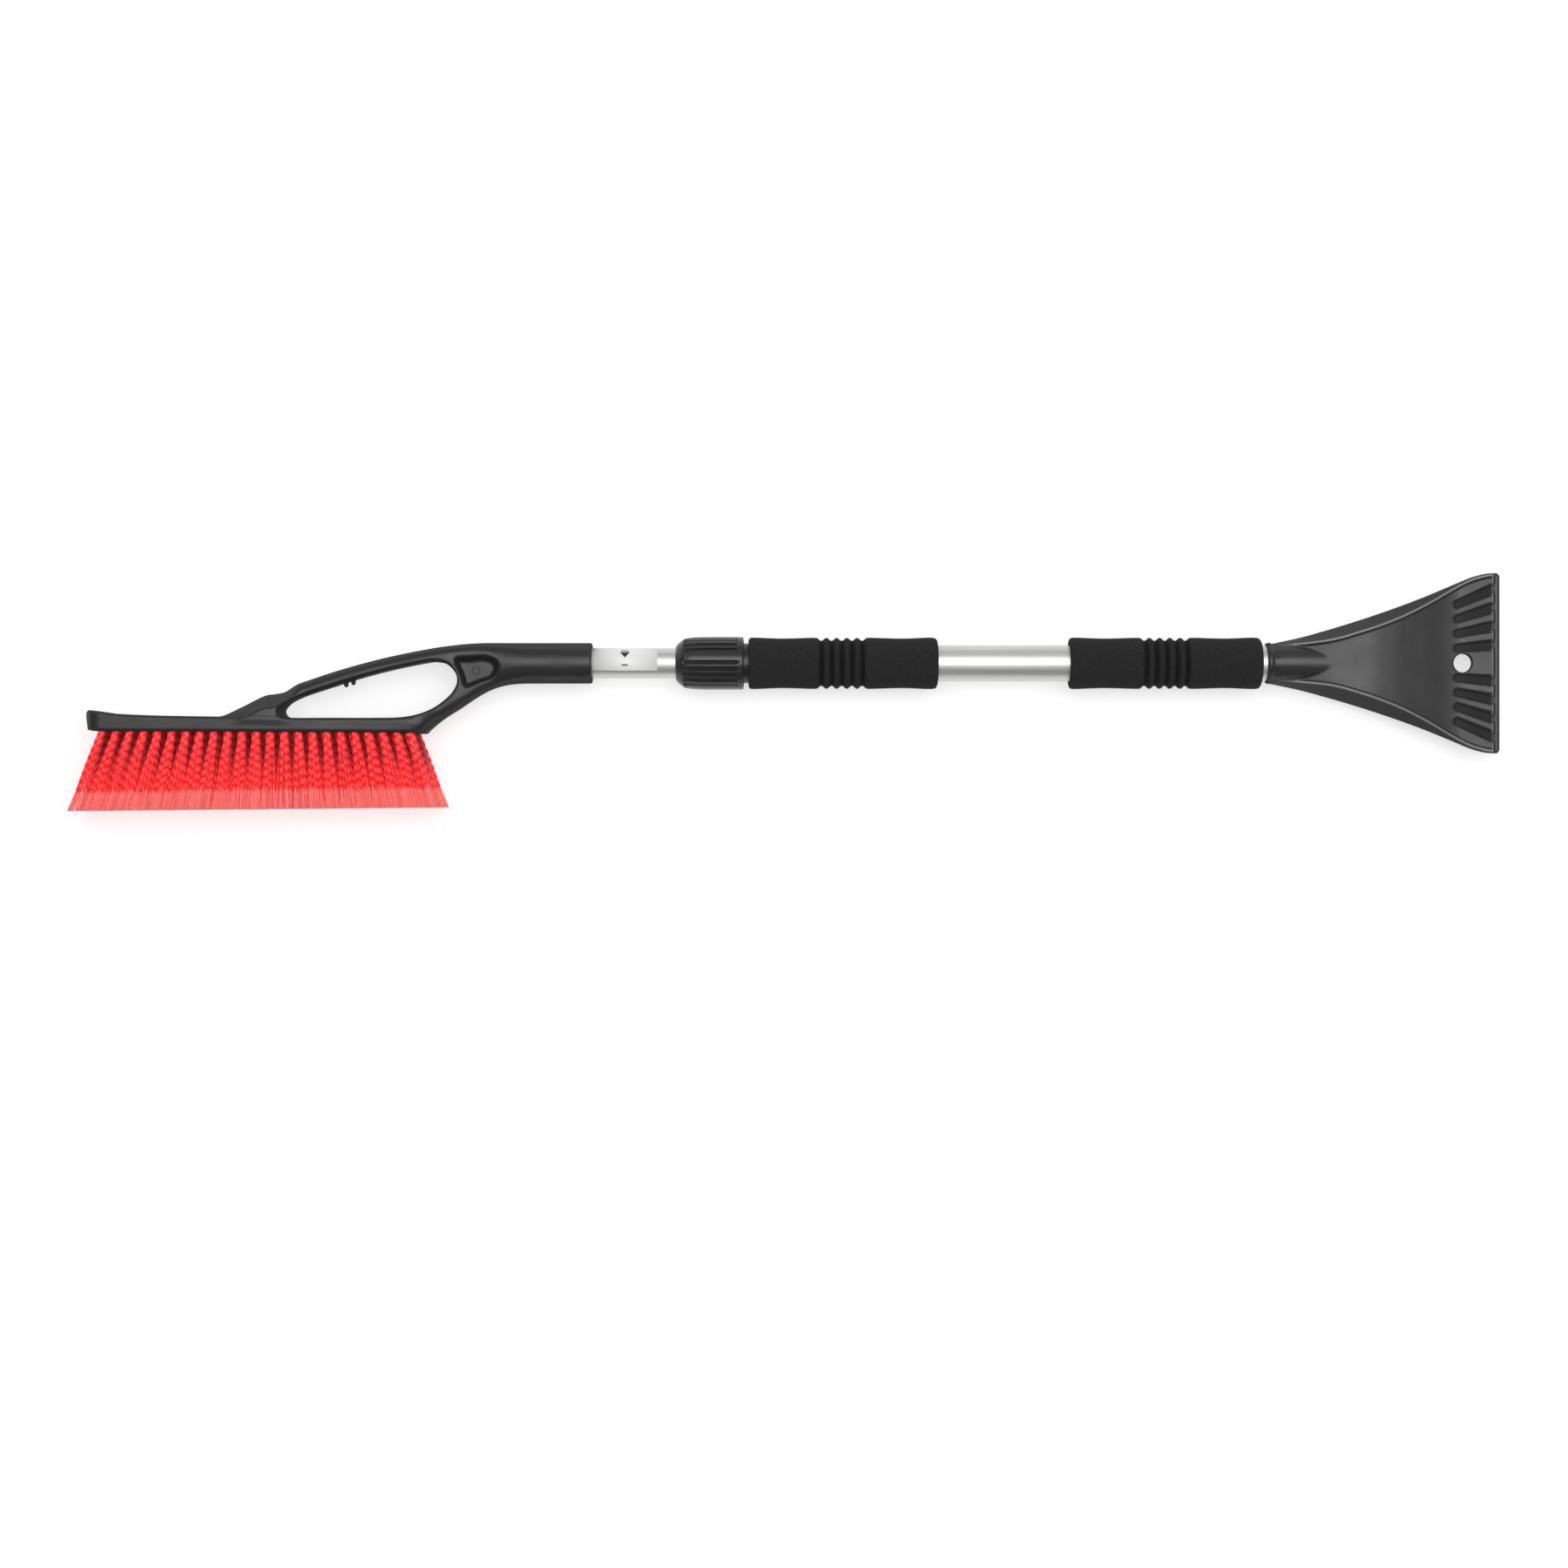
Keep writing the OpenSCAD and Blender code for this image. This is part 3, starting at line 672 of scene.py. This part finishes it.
class SNOWBRUSH_OT_scraper(Operator):
    """Builds the ice scraper with its rim, grooves and hang hole"""
    bl_idname = "snowbrush.scraper"
    bl_label = "Scraper"

    def execute(self, context):
        # Wider steps along the handle, where the surface changes slowly
        points, quads, normals = polygonise(scraper_field, (290, -57, -15), (437, 57, 17),
                                            np.array([1.3, 1, 1]) * sizes().scraper_step)
        x, y, z = points.T
        side, top, rim = np.abs(y), along(RIM_TOP, x), along(RIM_EDGE, x)
        # A painted highlight of light grey lies along the rim's crest and the ends of the lands; the
        # grooves stay dull
        crest = np.exp(-((side - rim + 1.1) / 0.5) ** 2) * (z > top - 1.3) * ease(x, 297, 315)
        land_end_highlight = np.exp(-((x - STRIP_X + 0.5) / 0.45) ** 2) * (z > STRIP_HEIGHT + 0.6) * (side < rim)
        grooves = groove_relief(x, side) / 2.4 * (x < STRIP_X - 0.5)
        make_piece("scraper_shell", points, quads, finish("scraper"), "handle", ("scraper_head",),
                   normals=normals, values={"painted_edge_highlight": np.maximum(crest, 0.8 * land_end_highlight),
                                            "dull": np.maximum(steep(normals), grooves)})
        return {"FINISHED"}


# ---------------------------------------------------------------- tubes, grips and collar

FOAM_BORE, FOAM_CREST, FOAM_VALLEY = 11.05, 15.65, 13.7
RIBS_START = {"foam_grip_front": 19.6, "foam_grip_rear": 216.0}
COLLAR_RADIUS, COLLAR_BORE, COLLAR_MOUTH, SLOTS = 16.0, 13.3, 9.5, 24
SLEEVE_RADIUS, SLEEVE_BORE, SLEEVE_MOUTH = 13.0, 11.02, 9.45
SLEEVE_NECK_X, SLEEVE_STOP_X = -30.0, -49.0
INNER_TUBE_RADIUS = 9.1
TUBES = {"outer_tube": ("handle", 11.0, 10.0), "inner_tube": ("brush", INNER_TUBE_RADIUS, 8.1)}


def foam_profile(x0, x1, ridge_x):
    """Side outline of a foam sleeve: soft waists between its ends and a band of ribs, which is a
    cosine wave of five grooves."""
    bore, crest, waist, pitch, grooves = FOAM_BORE, FOAM_CREST, 15.1, 6.2, 5
    band = np.arange(0, grooves * 12 + 1) / 12
    wave = 0.5 - 0.5 * np.cos(2 * np.pi * band)
    ribs = np.column_stack([ridge_x + band * pitch, crest - 0.1 - (crest - 0.1 - FOAM_VALLEY) * wave])
    ribs_end = ridge_x + grooves * pitch
    left = spline([(x0, crest - 2.6), (x0 + 0.35, crest - 0.9), (x0 + 1.6, crest - 0.08), (x0 + 5, crest),
                   ((x0 + ridge_x) / 2, waist), (ridge_x - 4, crest - 0.1), (ridge_x - 1, crest - 0.1)], 8)
    right = spline([(ribs_end + 1, crest - 0.1), (ribs_end + 4, crest - 0.1), ((ribs_end + x1) / 2, waist),
                    (x1 - 7, crest), (x1 - 2.4, crest - 0.15), (x1 - 1.1, crest - 0.8),
                    (x1 - 0.35, crest - 2.1), (x1, bore + 0.5)], 8)
    return np.vstack([[(x0, bore)], left, ribs, right, [(x1, bore)]])


class SNOWBRUSH_OT_grips(Operator):
    """Builds the two ribbed foam grips"""
    bl_idname = "snowbrush.grips"
    bl_label = "Foam Grips"

    def execute(self, context):
        for node, ridge_x in RIBS_START.items():
            points, quads = turned(foam_profile(*span(node), ridge_x), 128)
            radius = np.hypot(points[..., 1], points[..., 2])
            # The groove numbers paint shade wherever the radius falls below the crest: in the grooves and
            # on the rounded ends
            grip = make_piece(node + "_sleeve", points, quads, finish("foam"), "handle", (node,),
                              values={"groove": 1 - ease(radius, FOAM_VALLEY, 15.2)})
        return {"FINISHED"}


def collar_relief(x, radius, angle):
    """Radius of the collar with its lengthwise slots: where a slot lies, nothing stands above the
    slots' floor. One place in six is left smooth."""
    size = sizes()
    start, end = span("lock_collar")
    pitch = 2 * np.pi / SLOTS
    place = (angle - np.pi / 2) / pitch
    nearest = np.round(place)
    across = np.abs(place - nearest) * pitch * COLLAR_RADIUS
    beyond = np.maximum(np.maximum(start + 4.4 - x, x - (end - 4.6)), 0)
    slot = 1 - ease(np.hypot(across, beyond), 0.75, 1.25)
    slot = slot * (np.mod(nearest, 6) != 5)
    return radius - np.maximum(radius - size.slot_floor, 0) * slot


class SNOWBRUSH_OT_collar(Operator):
    """Builds the slotted locking collar and the sleeve that it turns on"""
    bl_idname = "snowbrush.collar"
    bl_label = "Locking Collar"

    def execute(self, context):
        x0, x1 = span("lock_collar")
        shoulder = spline([(x0, 9.9), (x0 + 0.12, 10.4), (x0 + 1.4, 12), (x0 + 4.6, 14.5), (x0 + 7, 15.2),
                           (x0 + 10, 15.65), (x0 + 16, 15.95), (x0 + 24, 16)], 10)
        along_x = [*np.linspace(x0 + 25, x1 - 5, 16), x1 - 4.6, x1 - 3.9, x1 - 3.4, x1 - 0.9]
        body = [(x, COLLAR_RADIUS) for x in along_x]
        end = [(x1 - 0.35, COLLAR_RADIUS - 0.2), (x1 - 0.1, COLLAR_RADIUS - 0.7), (x1, COLLAR_BORE + 0.1),
               (x1 - 4, COLLAR_BORE), (x0 + 3.2, COLLAR_BORE), (x0 + 3.1, COLLAR_MOUTH),
               (x0 + 0.3, COLLAR_MOUTH)]
        points, quads = turned(np.vstack([shoulder, body, end]), 26 * SLOTS, collar_relief)
        x, radius = points[..., 0], np.hypot(points[..., 1], points[..., 2])
        floor = sizes().slot_floor
        make_piece("lock_collar_shell", points, quads, finish("collar"), "lock_collar", ("lock_collar",),
                   values={"dull": (1 - ease(radius, floor + 0.1, floor + 1.2)) * (x > x0 + 5)})
        s0, s1 = span("collet_sleeve")
        neck = rounded([(s0, SLEEVE_MOUTH, 0.2), (s0, SLEEVE_RADIUS, 0.4),
                        (SLEEVE_NECK_X, SLEEVE_RADIUS, 0.4), (SLEEVE_NECK_X, 12.3, 0.3),
                        (s1 - 1.6, 12.1, 0.8), (s1, 12.1, 0.2), (s1, SLEEVE_BORE, 0.1),
                        (SLEEVE_STOP_X, SLEEVE_BORE, 0.1), (SLEEVE_STOP_X, SLEEVE_MOUTH, 0.2)])
        points, quads = turned(neck, 128)
        make_piece("collet_sleeve_turned", points, quads, finish("plastic"), "handle", ("collet_sleeve",))
        return {"FINISHED"}


class SNOWBRUSH_OT_tubes(Operator):
    """Builds the two drawn aluminium tubes with their broken edges"""
    bl_idname = "snowbrush.tubes"
    bl_label = "Tubes"

    def execute(self, context):
        for node, (body, outer, inner) in TUBES.items():
            x0, x1 = span(node)
            wall = rounded([(x0, inner, 0.15), (x0, outer, 0.25), (x1, outer, 0.25), (x1, inner, 0.15)])
            points, quads = turned(wall, 160)
            make_piece(node + "_drawn", points, quads, finish("aluminium"), body, (node,))
        return {"FINISHED"}


# ---------------------------------------------------------------- printed symbols

def wrapped_patch(outline, radius, thickness, x, height):
    """A flat outline of (along, up) laid on the inner tube: each place (s, t) goes to x + s along the
    tube and (height + t) up its side, measured round the tube. It is a filled fan about its middle,
    closed by an edge and a back."""
    corners = np.asarray(outline, float)
    share = np.linspace(0, 1, 12, endpoint=False)[None, :, None]
    p = (corners[:, None] * (1 - share) + np.roll(corners, -1, 0)[:, None] * share).reshape(-1, 2)
    middle = p.mean(axis=0)
    rings = 12
    share = (np.arange(rings + 1) / rings)[:, None, None]
    flat = middle + (p - middle)[None] * share
    layers = []
    for r in (radius + thickness, radius):
        angle = (height + flat[..., 1]) / radius
        layers.append(np.stack([x + flat[..., 0], r * np.sin(angle), r * np.cos(angle)], axis=-1))
    front, back = layers
    points = np.concatenate([front, back[::-1]])
    return points, grid_faces(len(points), len(p), close_rows=False)


def bar(width, height, up):
    """Outline of a bar whose middle lies that far up."""
    w, h = width / 2, height / 2
    return [(-w, up - h), (w, up - h), (w, up + h), (-w, up + h)]


FILM_THICKNESS, INK_THICKNESS = 0.15, 0.05
FILM_FROM, FILM_TO = -31, 224
MARKS_X, ARROW_HEIGHT = -96.4, 5.4
ARROW = [(-3.1, 1.7), (0, -2.2), (3.1, 1.7)]


class SNOWBRUSH_OT_film(Operator):
    """Lays the printed film round the inner tube, with its arrow, its bar and a dash"""
    bl_idname = "snowbrush.film"
    bl_label = "Printed Film"

    def execute(self, context):
        tube, radius = INNER_TUBE_RADIUS, INNER_TUBE_RADIUS + FILM_THICKNESS
        x0, x1 = span("tube_label")
        places = 120
        angle = np.radians(np.linspace(FILM_FROM, FILM_TO, places))[:, None]
        x, r = np.array([(x0, tube), (x0, radius), (x1, radius), (x1, tube)]).T
        film = np.stack([x + 0 * angle, r * np.sin(angle), r * np.cos(angle)], axis=-1)
        sides = grid_faces(places, 4, close_rows=False, flip=True)
        ends = np.array([[3, 2, 1, 0], np.arange(4) + 4 * (places - 1)])
        make_piece("tube_label_film", film, np.vstack([sides, ends]), finish("film"), "brush",
                   ("tube_label",))
        marks = [(bar(4.6, 0.9, 2.9), ARROW_HEIGHT), (ARROW, ARROW_HEIGHT), (bar(3.6, 0.8, -1.2), -0.2)]
        for number, (outline, height) in enumerate(marks, 1):
            points, quads = wrapped_patch(outline, radius, INK_THICKNESS, MARKS_X, height)
            make_piece(f"film_mark_{number}", points, quads, finish("ink"), "brush")
        return {"FINISHED"}


# ---------------------------------------------------------------- bristles

TUFTS, TUFT_PITCH, FIRST_TUFT_X = 23, 8.4, -411.0
TUFT_RADIUS, TIP_DEPTH = 1.75, 4.7
ROW_PITCH, ROWS = 7.5, len(BRISTLE_NODES)
BRISTLE_SPREAD = float(node_box(BRISTLE_NODES[-1])[1][2]) - AXIS_Z
ROOT_Y = -38.5
TIP_START, TIP_END = (-431.8, -89.6), (-206.0, -87.4)
SPLIT_LENGTH = 13.0
RINGS, END_RINGS = 34, 6
GOLDEN_TURN = math.pi * (3 - math.sqrt(5))


def strands(root, tip, along_path, radius, wave_z, wave_x):
    """Three-sided strands. Each follows the line from its root to its tip at the shares along_path,
    pushed aside by its wave, with a three-cornered ring of its radius at every share."""
    share = along_path[None, :, None]
    centre = root[:, None, :] + (tip - root)[:, None, :] * share
    centre = centre + np.stack([wave_x, 0 * wave_x, wave_z], axis=-1)
    corner = np.linspace(0, 2 * np.pi, 3, endpoint=False) + np.pi / 2
    ring = np.stack([np.cos(corner), 0 * corner, np.sin(corner)], axis=-1)
    return centre[:, :, None, :] + ring[None, None] * radius[:, :, None, None]


def strand_faces(count, rings, first):
    """Side quads and end triangles of count strands whose points start at first."""
    base = first + np.arange(count)[:, None, None] * rings * 3
    step = np.arange(rings - 1)[None, :, None] * 3
    corner, after = np.arange(3)[None, None, :], (np.arange(3)[None, None, :] + 1) % 3
    a = base + step
    quads = np.stack([a + corner, a + corner + 3, a + after + 3, a + after], axis=-1).reshape(-1, 4)
    start = first + np.arange(count)[:, None] * rings * 3
    end = start + (rings - 1) * 3
    caps = np.vstack([start + [0, 1, 2], end + [2, 1, 0]])
    return quads, caps


def bristle_row(number):
    """One row: its tufts stand in a line on the block and fan out to the straight line of tips.
    A tuft's fibres are set out as a sunflower's seeds are. Those in each half of a tuft share a
    crimp, a sine wave that mostly swings up and down, and each splits in two for its last stretch.
    Near the block their colour carries painted shade on a tuft's flanks and in the inner rows, and a
    painted highlight on the fronts of the outer rows."""
    size = sizes()
    chance = np.random.default_rng(40 + number)
    row = number - (ROWS - 1) / 2
    root_z = row * ROW_PITCH
    tip_z = row / ((ROWS - 1) / 2) * (BRISTLE_SPREAD - TIP_DEPTH - 0.2)
    count = TUFTS * size.fibres
    tuft = np.repeat(np.arange(TUFTS), size.fibres)
    stagger = 0.22 * (-1) ** number
    ray = np.sqrt((np.tile(np.arange(size.fibres), TUFTS) + 0.5) / size.fibres)
    turn = np.tile(np.arange(size.fibres) * GOLDEN_TURN, TUFTS) + tuft * 1.3
    offset_x, offset_z = ray * np.cos(turn), ray * np.sin(turn)
    jitter = chance.normal(size=(4, count))
    root = np.stack([FIRST_TUFT_X + tuft * TUFT_PITCH + TUFT_RADIUS * offset_x,
                     np.full(count, ROOT_Y), root_z + TUFT_RADIUS * offset_z], axis=-1)
    lean = (tuft + 0.5 + 0.5 * offset_x + 0.08 * jitter[0]) / TUFTS
    lean = np.clip(lean + stagger / TUFTS, 0.002, 0.998)
    tip = np.stack([TIP_START[0] + (TIP_END[0] - TIP_START[0]) * lean,
                    TIP_START[1] + (TIP_END[1] - TIP_START[1]) * lean + 0.15 * jitter[1],
                    tip_z + TIP_DEPTH * offset_z + 0.2 * jitter[2].clip(-1, 1)], axis=-1)
    reach = np.linalg.norm(tip - root, axis=1)
    split = SPLIT_LENGTH + 0.9 * jitter[2]
    fork = 1 - split / reach
    phase = 2 * np.pi * chance.random(TUFTS)[tuft] + 0.35 * jitter[3] + np.pi * (offset_x > 0)
    period = size.crimp_period * (1 + 0.14 * (chance.random(TUFTS)[tuft] - 0.5) + 0.025 * jitter[0])
    tilt = (chance.random(TUFTS) - 0.5)[tuft] * 1.2 + 0.25 * jitter[0]

    def wave(length, swell):
        angle = 2 * np.pi * length / period[:, None] + phase[:, None]
        swing = size.crimp_depth * swell * np.sin(angle)
        return swing * np.cos(tilt)[:, None], swing * np.sin(tilt)[:, None], angle

    share = np.linspace(0, 1, RINGS)
    length = share[None, :] * (reach * fork)[:, None]
    swing_z, swing_x, angle = wave(length, ease(length, 3, 12))
    fork_point = root + (tip - root) * fork[:, None]
    bulge = 4 * share[None, :] * (1 - share[None, :])
    main = strands(root, fork_point, share, np.full((count, RINGS), size.fibre_radius),
                   swing_z + 1.3 * bulge * offset_z[:, None], swing_x + 0.45 * bulge * offset_x[:, None])
    sets, faces = [main.reshape(-1, 3)], [strand_faces(count, RINGS, 0)]
    own = 1 + 0.1 * chance.normal(size=count)
    # Painted shade on each tuft's flanks and in the inner rows, and painted light on the outer rows'
    # fronts, fading along the fibre
    painted_shade_share = np.maximum(0.6 * ease(np.abs(offset_x), 0.55, 1.0), 0.7 * (abs(row) < 1))
    lit = 0.4 * (abs(row) > 1) * (1 - ease(np.abs(offset_x), 0.4, 0.8))
    painted_light_and_shade = (1 - painted_shade_share[:, None] * (1 - ease(share[None, :], 0.25, 1.0))
              + lit[:, None] * (1 - ease(share[None, :], 0.1, 0.5)))
    # Crest numbers place the painted highlight on each crest of the crimp, over the waved strands' own
    # shading
    crest = np.repeat(0.5 + 0.5 * np.cos(angle), 3, axis=1)
    values = {"crest": [crest.ravel()], "split": [np.zeros(count * RINGS * 3)],
              "tone_and_painted_shade": [np.repeat(own[:, None] * painted_light_and_shade, 3, axis=1).ravel()]}
    share = np.linspace(0, 1, END_RINGS)
    for side in (-1, 1):
        first = sum(len(s) for s in sets)
        spread = side * (0.4 + 0.15 * chance.random(count))
        end = tip + np.stack([spread * np.cos(turn), 0.15 * chance.normal(size=count),
                              spread * np.sin(turn)], axis=-1)
        length = (reach * fork)[:, None] + share[None, :] * split[:, None]
        swing_z, swing_x, angle = wave(length, 1 - 0.75 * share[None, :])
        radius = size.fibre_radius * np.broadcast_to(0.78 - 0.25 * share[None, :], (count, END_RINGS))
        sets.append(strands(fork_point, end, share, radius, swing_z, swing_x).reshape(-1, 3))
        faces.append(strand_faces(count, END_RINGS, first))
        values["crest"].append(np.repeat(0.5 + 0.5 * np.cos(angle), 3, axis=1).ravel())
        values["split"].append(np.tile(np.repeat(ease(share, -0.05, 0.12), 3), count))
        values["tone_and_painted_shade"].append(np.repeat(own + 0.12 * chance.normal(size=count), END_RINGS * 3))
    return (np.vstack(sets), [np.vstack([f[0] for f in faces]), np.vstack([f[1] for f in faces])],
            {key: np.concatenate(v) for key, v in values.items()})


class SNOWBRUSH_OT_bristles(Operator):
    """Builds every row of crimped bristles, fanned out tuft by tuft, with split ends"""
    bl_idname = "snowbrush.bristles"
    bl_label = "Bristles"

    def execute(self, context):
        for number, node in enumerate(BRISTLE_NODES):
            points, faces, values = bristle_row(number)
            make_piece(node + "_fibres", points, faces, finish("fibre"), "brush", (node,), values=values)
        return {"FINISHED"}


# ---------------------------------------------------------------- finishes of the CAD nodes

NODE_FINISHES = {
    "clamp_ring": "nylon", "guide_bush": "nylon", "inner_tube_cap": "plastic",
    "tube_end_plug": "plastic", "scraper_screw": "zinc", "brush_screw": "zinc",
    **{f"anchor_row_{row}": "zinc" for row in range(1, 5)},
}


class SNOWBRUSH_OT_node_finishes(Operator):
    """Gives the parts that keep their own shape their materials"""
    bl_idname = "snowbrush.node_finishes"
    bl_label = "Part Finishes"

    def execute(self, context):
        for node, kind in NODE_FINISHES.items():
            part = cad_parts[node]
            if not part.material_slots:
                part.data.materials.append(None)
            for place in part.material_slots:
                place.link = "OBJECT"
                place.material = finish(kind)
        return {"FINISHED"}


# ---------------------------------------------------------------- stage

SOFTBOX_PLACE, SOFTBOX_SIZE, SOFTBOX_POWER = (0.25, 0.35, 2.15), (2.4, 1.3), 35


class SNOWBRUSH_OT_stage(Operator):
    """Sets the pale floor, the soft light, the even sky and the camera above the tool"""
    bl_idname = "snowbrush.stage"
    bl_label = "Stage"

    def execute(self, context):
        stage = context.scene.snow_brush_stage
        self.make_floor(stage)
        self.make_sky(context)
        self.make_softbox()
        self.make_camera(context, stage)
        context.scene.view_settings.view_transform = "Standard"
        return {"FINISHED"}

    def make_floor(self, stage):
        """A round flat floor whose far rim sweeps up, so that it has no visible end: a profile of
        (distance, height) in metres carried round the middle, with the disc inside it."""
        reach, height = np.array([(9, 0), (10, 0.05), (11, 0.35), (11.7, 0.9), (12, 1.6)]).T
        around = 96
        turn = np.linspace(0, 2 * np.pi, around, endpoint=False)[None, :]
        points = np.stack([reach[:, None] * np.cos(turn), reach[:, None] * np.sin(turn),
                           height[:, None] + 0 * turn], axis=-1).reshape(-1, 3)
        rim = grid_faces(len(reach), around, close_rows=False)
        mesh = bpy.data.meshes.new("studio_floor")
        mesh.from_pydata(points.tolist(), [], [list(range(around)), *rim.tolist()])
        mesh.shade_smooth()
        material, tree, shader, place = new_material("matt_white_floor")
        paper = mottled(tree, place, tuple(stage.floor_colour), shade(stage.floor_colour, 0.99), 400)
        feed(shader, Base_Color=paper, Roughness=0.95, Emission_Color=(1, 1, 1), Emission_Strength=0.62)
        mesh.materials.append(material)
        add_object("studio_floor", mesh)

    def make_sky(self, context):
        """Even white light from above that darkens to grey at the horizon on the bristles' side."""
        world = bpy.data.worlds.new("soft_sky")
        world.use_nodes = True
        tree = world.node_tree
        tree.nodes.clear()
        direction = add_node(tree, "ShaderNodeTexCoord").outputs["Generated"]
        split = add_node(tree, "ShaderNodeSeparateXYZ", Vector=direction)
        upward = add_node(tree, "ShaderNodeMapRange", {"interpolation_type": "SMOOTHSTEP"}, From_Min=0.05,
                          From_Max=0.9, To_Min=0.1, To_Max=0.42, Value=split.outputs["Z"])
        away = add_node(tree, "ShaderNodeMapRange", From_Min=-0.2, From_Max=1.0, To_Min=0.0, To_Max=0.35,
                        Value=split.outputs["Y"])
        strength = add_node(tree, "ShaderNodeMath", {"operation": "ADD"}, _0=upward.outputs["Result"],
                            _1=away.outputs["Result"]).outputs["Value"]
        sky = add_node(tree, "ShaderNodeBackground", Color=(1, 1, 1), Strength=strength)
        add_node(tree, "ShaderNodeOutputWorld", Surface=sky.outputs["Background"])
        context.scene.world = world

    def make_softbox(self):
        """A wide soft lamp above the handle, tilted to face it."""
        lamp = bpy.data.lights.new("key_softbox", "AREA")
        lamp.shape, lamp.energy = "RECTANGLE", SOFTBOX_POWER
        lamp.size, lamp.size_y = SOFTBOX_SIZE
        holder = add_object("key_softbox", lamp)
        holder.location = SOFTBOX_PLACE
        holder.rotation_euler = (-math.atan2(SOFTBOX_PLACE[1], SOFTBOX_PLACE[2]), 0, 0)

    def make_camera(self, context, stage):
        """A camera that looks straight down; its lens follows from its height and the view's width."""
        camera = bpy.data.cameras.new("camera")
        camera.sensor_width = 36
        camera.lens = camera.sensor_width * stage.camera_height / stage.view_width
        holder = add_object("camera", camera)
        holder.location = (0, AXIS_Y * MM - stage.camera_drop, AXIS_Z * MM + stage.camera_height)
        context.scene.camera = holder


# ---------------------------------------------------------------- add-on

BUILDERS = (SNOWBRUSH_OT_brush_head, SNOWBRUSH_OT_scraper, SNOWBRUSH_OT_grips, SNOWBRUSH_OT_collar,
            SNOWBRUSH_OT_tubes, SNOWBRUSH_OT_film, SNOWBRUSH_OT_bristles,
            SNOWBRUSH_OT_node_finishes, SNOWBRUSH_OT_stage)


class SNOWBRUSH_PT_panel(Panel):
    """Lists the builders and the settings that they use"""
    bl_idname = "SNOWBRUSH_PT_panel"
    bl_label = "Snow Brush"
    bl_space_type = "VIEW_3D"
    bl_region_type = "UI"
    bl_category = "Snow Brush"

    def draw(self, context):
        for builder in BUILDERS:
            self.layout.operator(builder.bl_idname)
        for group in (context.scene.snow_brush_finishes, context.scene.snow_brush_sizes,
                      context.scene.snow_brush_stage):
            box = self.layout.box()
            for key in group.__annotations__:
                box.prop(group, key)


GROUPS = {"snow_brush_finishes": SnowBrushFinishes, "snow_brush_sizes": SnowBrushSizes,
          "snow_brush_stage": SnowBrushStage}


def register():
    for cls in (*GROUPS.values(), *BUILDERS, SNOWBRUSH_PT_panel):
        bpy.utils.register_class(cls)
    for key, group in GROUPS.items():
        setattr(bpy.types.Scene, key, PointerProperty(type=group))


def unregister():
    for key in GROUPS:
        delattr(bpy.types.Scene, key)
    for cls in reversed((*GROUPS.values(), *BUILDERS, SNOWBRUSH_PT_panel)):
        bpy.utils.unregister_class(cls)


def main():
    """Registers the add-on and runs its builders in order."""
    register()
    for builder in BUILDERS:
        family, action = builder.bl_idname.split(".")
        getattr(getattr(bpy.ops, family), action)()
    bpy.context.view_layer.update()


if __name__ == "__main__":
    main()
